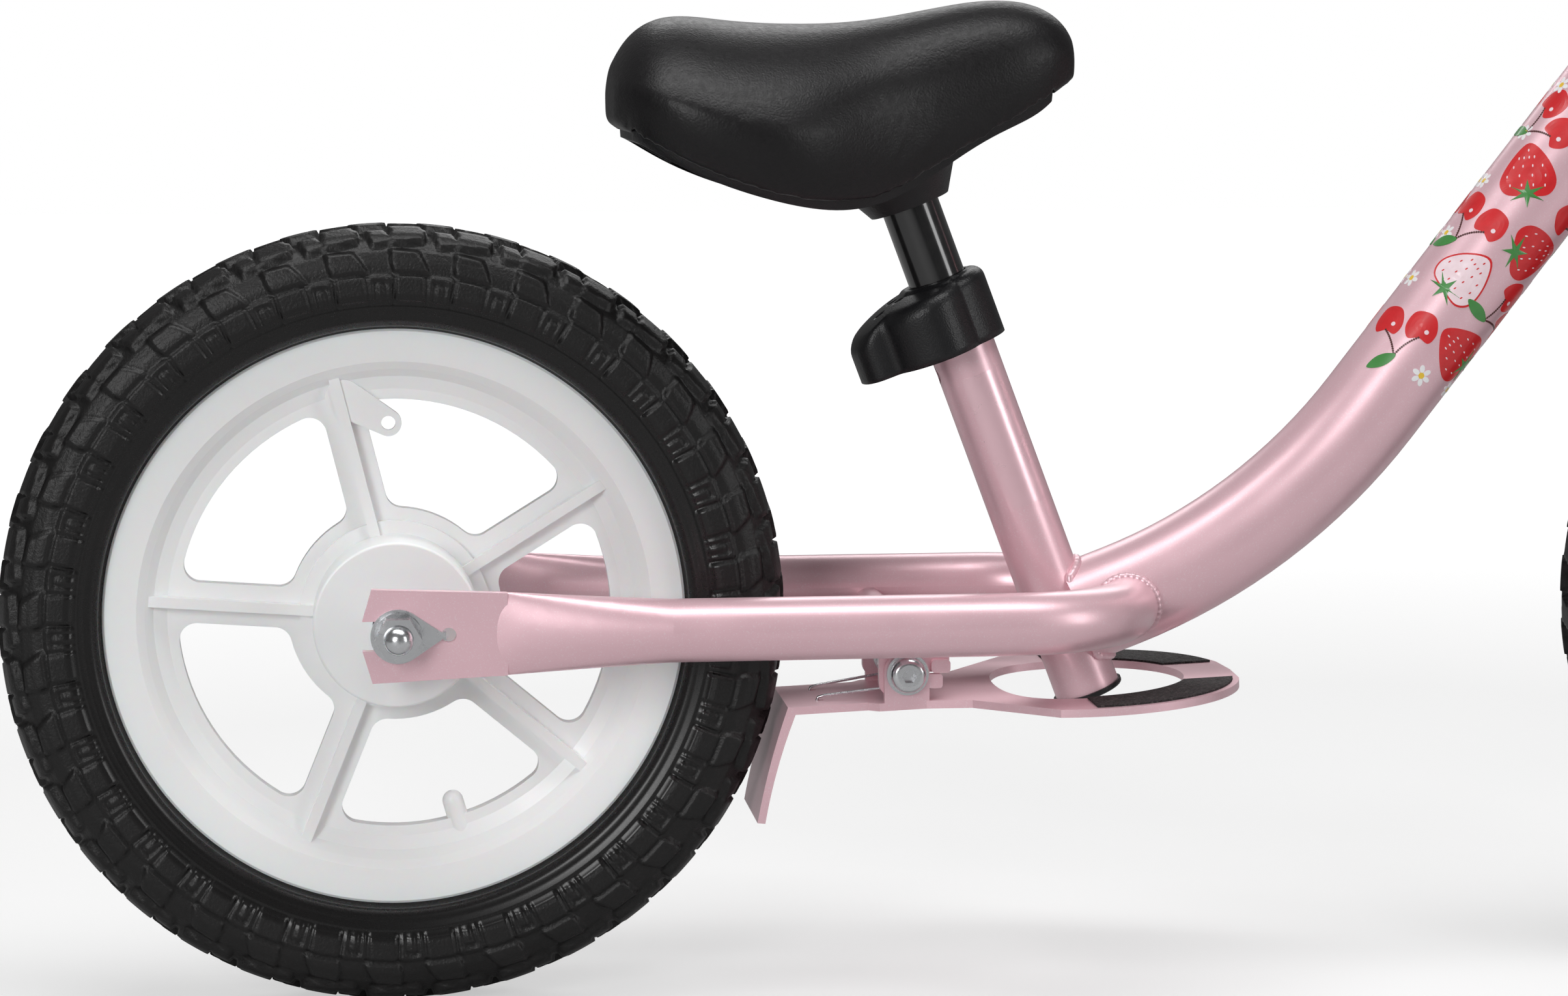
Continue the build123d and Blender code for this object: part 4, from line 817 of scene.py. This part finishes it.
def cover_reach(turn):
    """How far the cover's outline lies from the seat tube's axis, in a direction."""
    turn = abs(turn)
    if turn <= atan2(cover_outline[-1][1], cover_outline[-1][0]):
        return 17.7
    for (x0, y0), (x1, y1) in zip(cover_outline, cover_outline[1:]):
        if atan2(y0, x0) >= turn >= atan2(y1, x1):
            share = (atan2(y0, x0) - turn) / (atan2(y0, x0) - atan2(y1, x1))
            return hypot(x0, y0) * (1 - share) + hypot(x1, y1) * share


def in_seat_frame(x, y, z):
    return seat_foot + (seat_across * x + Vector((0.0, 1.0, 0.0)) * y + seat_up * z) * MM


def cover_shell():
    """A shell from its lower rim, up the walls, over a rounded edge and in to the post's hole."""
    columns, points, faces = 240, [], []
    turns = [2 * pi * column / columns - pi for column in range(columns)]
    reach = [cover_reach(turn) for turn in turns]
    evened = [(reach[k - 1] + 2 * reach[k] + reach[(k + 1) % columns]) / 4 for k in range(columns)]
    levels = [("wall", share / 8) for share in range(9)] + [("edge", share / 6) for share in range(1, 7)]
    levels += [("roof", share / 14) for share in range(1, 15)]
    for kind, share in levels:
        for turn, far in zip(turns, evened):
            inset, drop = 0.0, cover_edge_radius
            if kind != "wall":
                bend = pi / 2 * (share if kind == "edge" else 1.0)
                inset, drop = cover_edge_radius * (1 - cos(bend)), cover_edge_radius * (1 - sin(bend))
            radius = far - inset
            if kind == "roof":
                radius += (post_hole_radius - radius) * share
            x, y = radius * cos(turn), radius * sin(turn)
            top = cover_top(x) - drop - 0.006 * y * y
            height = cover_bottom + (top - cover_bottom) * share if kind == "wall" else top
            if kind == "roof" and radius < 15.5:
                height = max(height, min(170.5, height + 0.9 * smooth_step(-radius, -15.5, -14.8)))
            points.append(in_seat_frame(x, y, height))
    for row in range(len(levels) - 1):
        for column in range(columns):
            here, beside = row * columns + column, row * columns + (column + 1) % columns
            faces.append((here, beside, beside + columns, here + columns))
    shell = mesh_piece("ribbed_clamp_cover", points, faces)
    centre = in_seat_frame(-8.0, 0.0, 140.0)
    if sum(face.normal.dot(face.center - centre) for face in shell.data.polygons) < 0:
        shell.data.flip_normals()
    select(shell)
    wall = shell.modifiers.new("wall", "SOLIDIFY")
    wall.thickness, wall.offset = cover_wall * MM, -1.0
    bpy.ops.object.modifier_apply(modifier=wall.name)
    for index, (x, y) in enumerate(cover_holes):
        deselect()
        bpy.ops.mesh.primitive_cylinder_add(vertices=24, radius=1.0, depth=1.0)
        drill = bpy.context.object
        long_way = Vector((0.8, -0.6, 0.0)) if y < 0 else Vector((0.8, 0.6, 0.0))
        for vertex in drill.data.vertices:
            corner = vertex.co
            sideways = Vector((-long_way.y, long_way.x, 0.0))
            place = long_way * corner.x * hole_half_length + sideways * corner.y * hole_half_width
            vertex.co = in_seat_frame(x + place.x, y + place.y, 163.0 + corner.z * 20.0)
        select(shell)
        bore = shell.modifiers.new(f"vent_{index}", "BOOLEAN")
        bore.operation, bore.object, bore.solver = "DIFFERENCE", drill, "EXACT"
        bpy.ops.object.modifier_apply(modifier=bore.name)
        bpy.data.objects.remove(drill)
    finished(shell, "frame", moulded_black.material)
    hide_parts("clamp_cover")


cover_shell()


# ---- Pedal pads: anti-slip strips -----------------------------------------------------------------------
# Two self-adhesive strips of coarse black grit on the foot ring.
def grit_finish():
    finish = Finish("anti_slip_grit")
    grains = finish.cells(1100.0)
    # Painted glint: where this grain pattern is high the colour is lighter, standing in for glints off the
    # grit.
    painted_glint_grains = finish.node("ShaderNodeSeparateColor", {}, {"Color": finish.cells(1100.0, output="Color")}, "Red")
    finish.colours(finish.spread(painted_glint_grains, 0.7, 1.0), (0.014, 0.012, 0.012), (0.075, 0.068, 0.066))
    finish.set("Roughness", finish.spread(painted_glint_grains, 0.0, 1.0, 0.55, 0.85))
    finish.bump(1.0 - grains, 1.0, 0.0008)
    return finish


grit_finish().coat("pedal_pads")


# ---- Brake spring: one length of bright spring wire ---------------------------------------------------
# Two close-wound coils sit on the pivot sleeve. A bar joins them, and each outer end runs back
# to hook through a hole in the pedal plate.
pivot = rear_axle + Vector((192.6, 0.0, -22.8)) * MM
coil_radius, wire_radius = 6.5, 0.55
coil_inner, coil_outer, leg_place, hook_x = 6.4, 16.4, 11.4, 161.2
turns_in_coil = 8
pedal_slope = radians(2.4)


def pedal_top(x):
    """The pedal plate's top above the rear axle, at a distance forward of it, in mm."""
    return -30.8 + (x - 262.0) * tan(pedal_slope)


def spring_line():
    """Points from one hook, round both coils, to the other hook."""
    half = []
    steps = turns_in_coil * 28
    for step in range(steps + 1):
        turn = radians(90.0) - (2 * pi * turns_in_coil + radians(180.0)) * step / steps
        place = coil_inner + (coil_outer - coil_inner) * step / steps
        half.append(Vector((coil_radius * cos(turn), place, coil_radius * sin(turn))))
    leg_end = Vector((hook_x - 192.6, leg_place, pedal_top(hook_x) + 1.6 + 22.8))
    start = half[-1]
    half += [start.lerp(leg_end, share) for share in (0.15, 0.4, 0.7, 0.95)]
    hook = ((-0.8, 0.0, -0.5), (-1.1, 0.0, -1.6), (-1.1, 0.0, -5.2))
    half += [leg_end + Vector(step) for step in hook]
    mirrored = [Vector((point.x, -point.y, point.z)) for point in half]
    bar = [Vector((0.0, place, coil_radius)) for place in (-4.0, 0.0, 4.0)]
    return [pivot + point * MM for point in mirrored[::-1] + bar + half]


def spring_finish():
    finish = Finish("bright_spring_wire", Metallic=1.0)
    finish.colours(finish.noise(300.0), (0.55, 0.56, 0.58), (0.74, 0.75, 0.77))
    finish.set("Roughness", finish.spread(finish.noise(500.0), 0.3, 0.7, 0.18, 0.32))
    finish.bump(finish.noise(900.0), 0.1, 0.0002)
    return finish.material


wire_path = spring_line()
spring = swept_mesh("brake_spring_wire", wire_path, [wire_radius * MM] * len(wire_path), sides=8)
spring.data.materials.append(spring_finish())
for face in spring.data.polygons:
    face.use_smooth = True
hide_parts("brake_spring")
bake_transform(spring)


# ---- Saddle: foam under black leatherette -------------------------------------------------------------
# A moulded foam pad under a stretched leatherette skin with a fine pebbled grain.
def leatherette_finish():
    finish = Finish("grained_leatherette", Specular_IOR_Level=0.35)
    pebble = finish.cells(1250.0, feature="SMOOTH_F1")
    crease = finish.noise(420.0, detail=4.0, roughness=0.65)
    finish.colours(finish.noise(30.0), (0.004, 0.0035, 0.004), (0.008, 0.007, 0.008))
    finish.set("Roughness", finish.spread(crease, 0.3, 0.7, 0.36, 0.50))
    finish.bump(pebble * 0.6 + crease * 0.6, 0.35, 0.0004)
    return finish


leatherette = leatherette_finish()
saddle_voxel, saddle_swell, saddle_frames = 2.0 * MM, 1.4 * MM, 12


def saddle_piece():
    """The pad, remeshed evenly and blown up a little by cloth pressure, with its underside held."""
    source = frame["nodes"]["saddle_cover"]
    pad = bpy.data.objects.new("saddle_pad", source.data.copy())
    bpy.context.collection.objects.link(pad)
    select(pad)
    shape = bmesh.new()
    shape.from_mesh(pad.data)
    bmesh.ops.remove_doubles(shape, verts=shape.verts, dist=0.01 * MM)
    shape.to_mesh(pad.data)
    shape.free()
    remesh = pad.modifiers.new("even_skin", "REMESH")
    remesh.mode, remesh.voxel_size = "VOXEL", saddle_voxel
    bpy.ops.object.modifier_apply(modifier=remesh.name)
    smooth = pad.modifiers.new("soft_skin", "SMOOTH")
    smooth.factor, smooth.iterations = 0.5, 1
    bpy.ops.object.modifier_apply(modifier=smooth.name)
    base = frame["nodes"]["saddle_base"]
    tree = BVHTree.FromPolygons([v.co for v in base.data.vertices], [p.vertices for p in base.data.polygons])
    near = [v.index for v in pad.data.vertices if tree.find_nearest(v.co)[3] < 4.0 * MM]
    held = pad.vertex_groups.new(name="held")
    held.add(near, 1.0, "REPLACE")
    rest = [v.co.copy() for v in pad.data.vertices]
    cloth = pad.modifiers.new("skin", "CLOTH")
    cloth.settings.use_pressure = True
    cloth.settings.uniform_pressure_force = 4.0
    cloth.settings.effector_weights.gravity = 0.0
    cloth.settings.vertex_group_mass = "held"
    for step in range(1, saddle_frames + 1):
        bpy.context.scene.frame_set(step)
    bpy.ops.object.modifier_apply(modifier=cloth.name)
    bpy.context.scene.frame_set(1)
    for vertex, start in zip(pad.data.vertices, rest):
        moved = vertex.co - start
        if moved.length > saddle_swell:
            vertex.co = start + moved.normalized() * saddle_swell
    rounder = pad.modifiers.new("finer_skin", "SUBSURF")
    rounder.levels = rounder.render_levels = 1
    bpy.ops.object.modifier_apply(modifier=rounder.name)
    finished(pad, "saddle", leatherette.material)
    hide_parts("saddle_cover")


saddle_piece()


# ---- Grips: soft black rubber ---------------------------------------------------------------------------
def grip_finish():
    finish = Finish("soft_grip_rubber")
    finish.colours(finish.noise(80.0), (0.014, 0.014, 0.016), (0.022, 0.022, 0.024))
    finish.set("Roughness", finish.spread(finish.noise(300.0), 0.3, 0.7, 0.6, 0.75))
    finish.bump(finish.noise(1400.0), 0.2, 0.0002)
    return finish


grip_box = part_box("grips")
grip_axis = Vector(((grip_box[0][0] + grip_box[1][0]) / 2, 0.0, (grip_box[0][2] + grip_box[1][2]) / 2))
grip_start, grip_end, grip_rib = 118.0, 231.0, 5.2
bar_radius = 11.2


def grip_profile():
    """Distance along the bar and radius, in mm: ribs, then the round safety flange at the end."""
    line = [(grip_start, bar_radius), (grip_start, 14.6), (grip_start + 0.8, 15.4), (grip_start + 5.0, 15.5)]
    place = grip_start + 6.0
    while place + grip_rib < grip_end - 9.0:
        line += [(place, 14.2), (place + 0.7, 13.9), (place + 1.4, 14.2), (place + 1.9, 15.3),
                 (place + 3.0, 15.5), (place + 4.5, 15.3)]
        place += grip_rib
    line += [(grip_end - 7.5, 15.2), (grip_end - 6.8, 18.6), (grip_end - 6.0, 19.6), (grip_end - 4.6, 20.0),
             (grip_end - 2.0, 20.0), (grip_end - 0.6, 19.4), (grip_end, 18.0), (grip_end, 4.0),
             (grip_end, 0.0)]
    line += [(225.3, 0.0), (225.3, bar_radius)]
    return line


def grip_piece(side, name, material):
    profile, sides, points, faces = grip_profile(), 64, [], []
    for turn in (2 * pi * step / sides for step in range(sides)):
        for along, radius in profile:
            points.append(grip_axis + Vector((cos(turn) * radius, side * along, sin(turn) * radius)) * MM)
    count = len(profile)
    for step in range(sides):
        for row in range(count):
            here, beside = step * count, (step + 1) % sides * count
            faces.append((here + row, here + (row + 1) % count, beside + (row + 1) % count, beside + row))
    piece = mesh_piece(name, points, faces)
    shape = bmesh.new()
    shape.from_mesh(piece.data)
    bmesh.ops.remove_doubles(shape, verts=shape.verts, dist=0.005 * MM)
    bmesh.ops.dissolve_degenerate(shape, edges=shape.edges, dist=0.001 * MM)
    bmesh.ops.recalc_face_normals(shape, faces=shape.faces)
    shape.to_mesh(piece.data)
    shape.free()
    return finished(piece, "handlebar", material)


grip_rubber = grip_finish()
right_grip = grip_piece(-1, "right_ribbed_grip", grip_rubber.material)
left_grip = grip_piece(1, "left_ribbed_grip", grip_rubber.material)
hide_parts("grips")
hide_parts("grips")
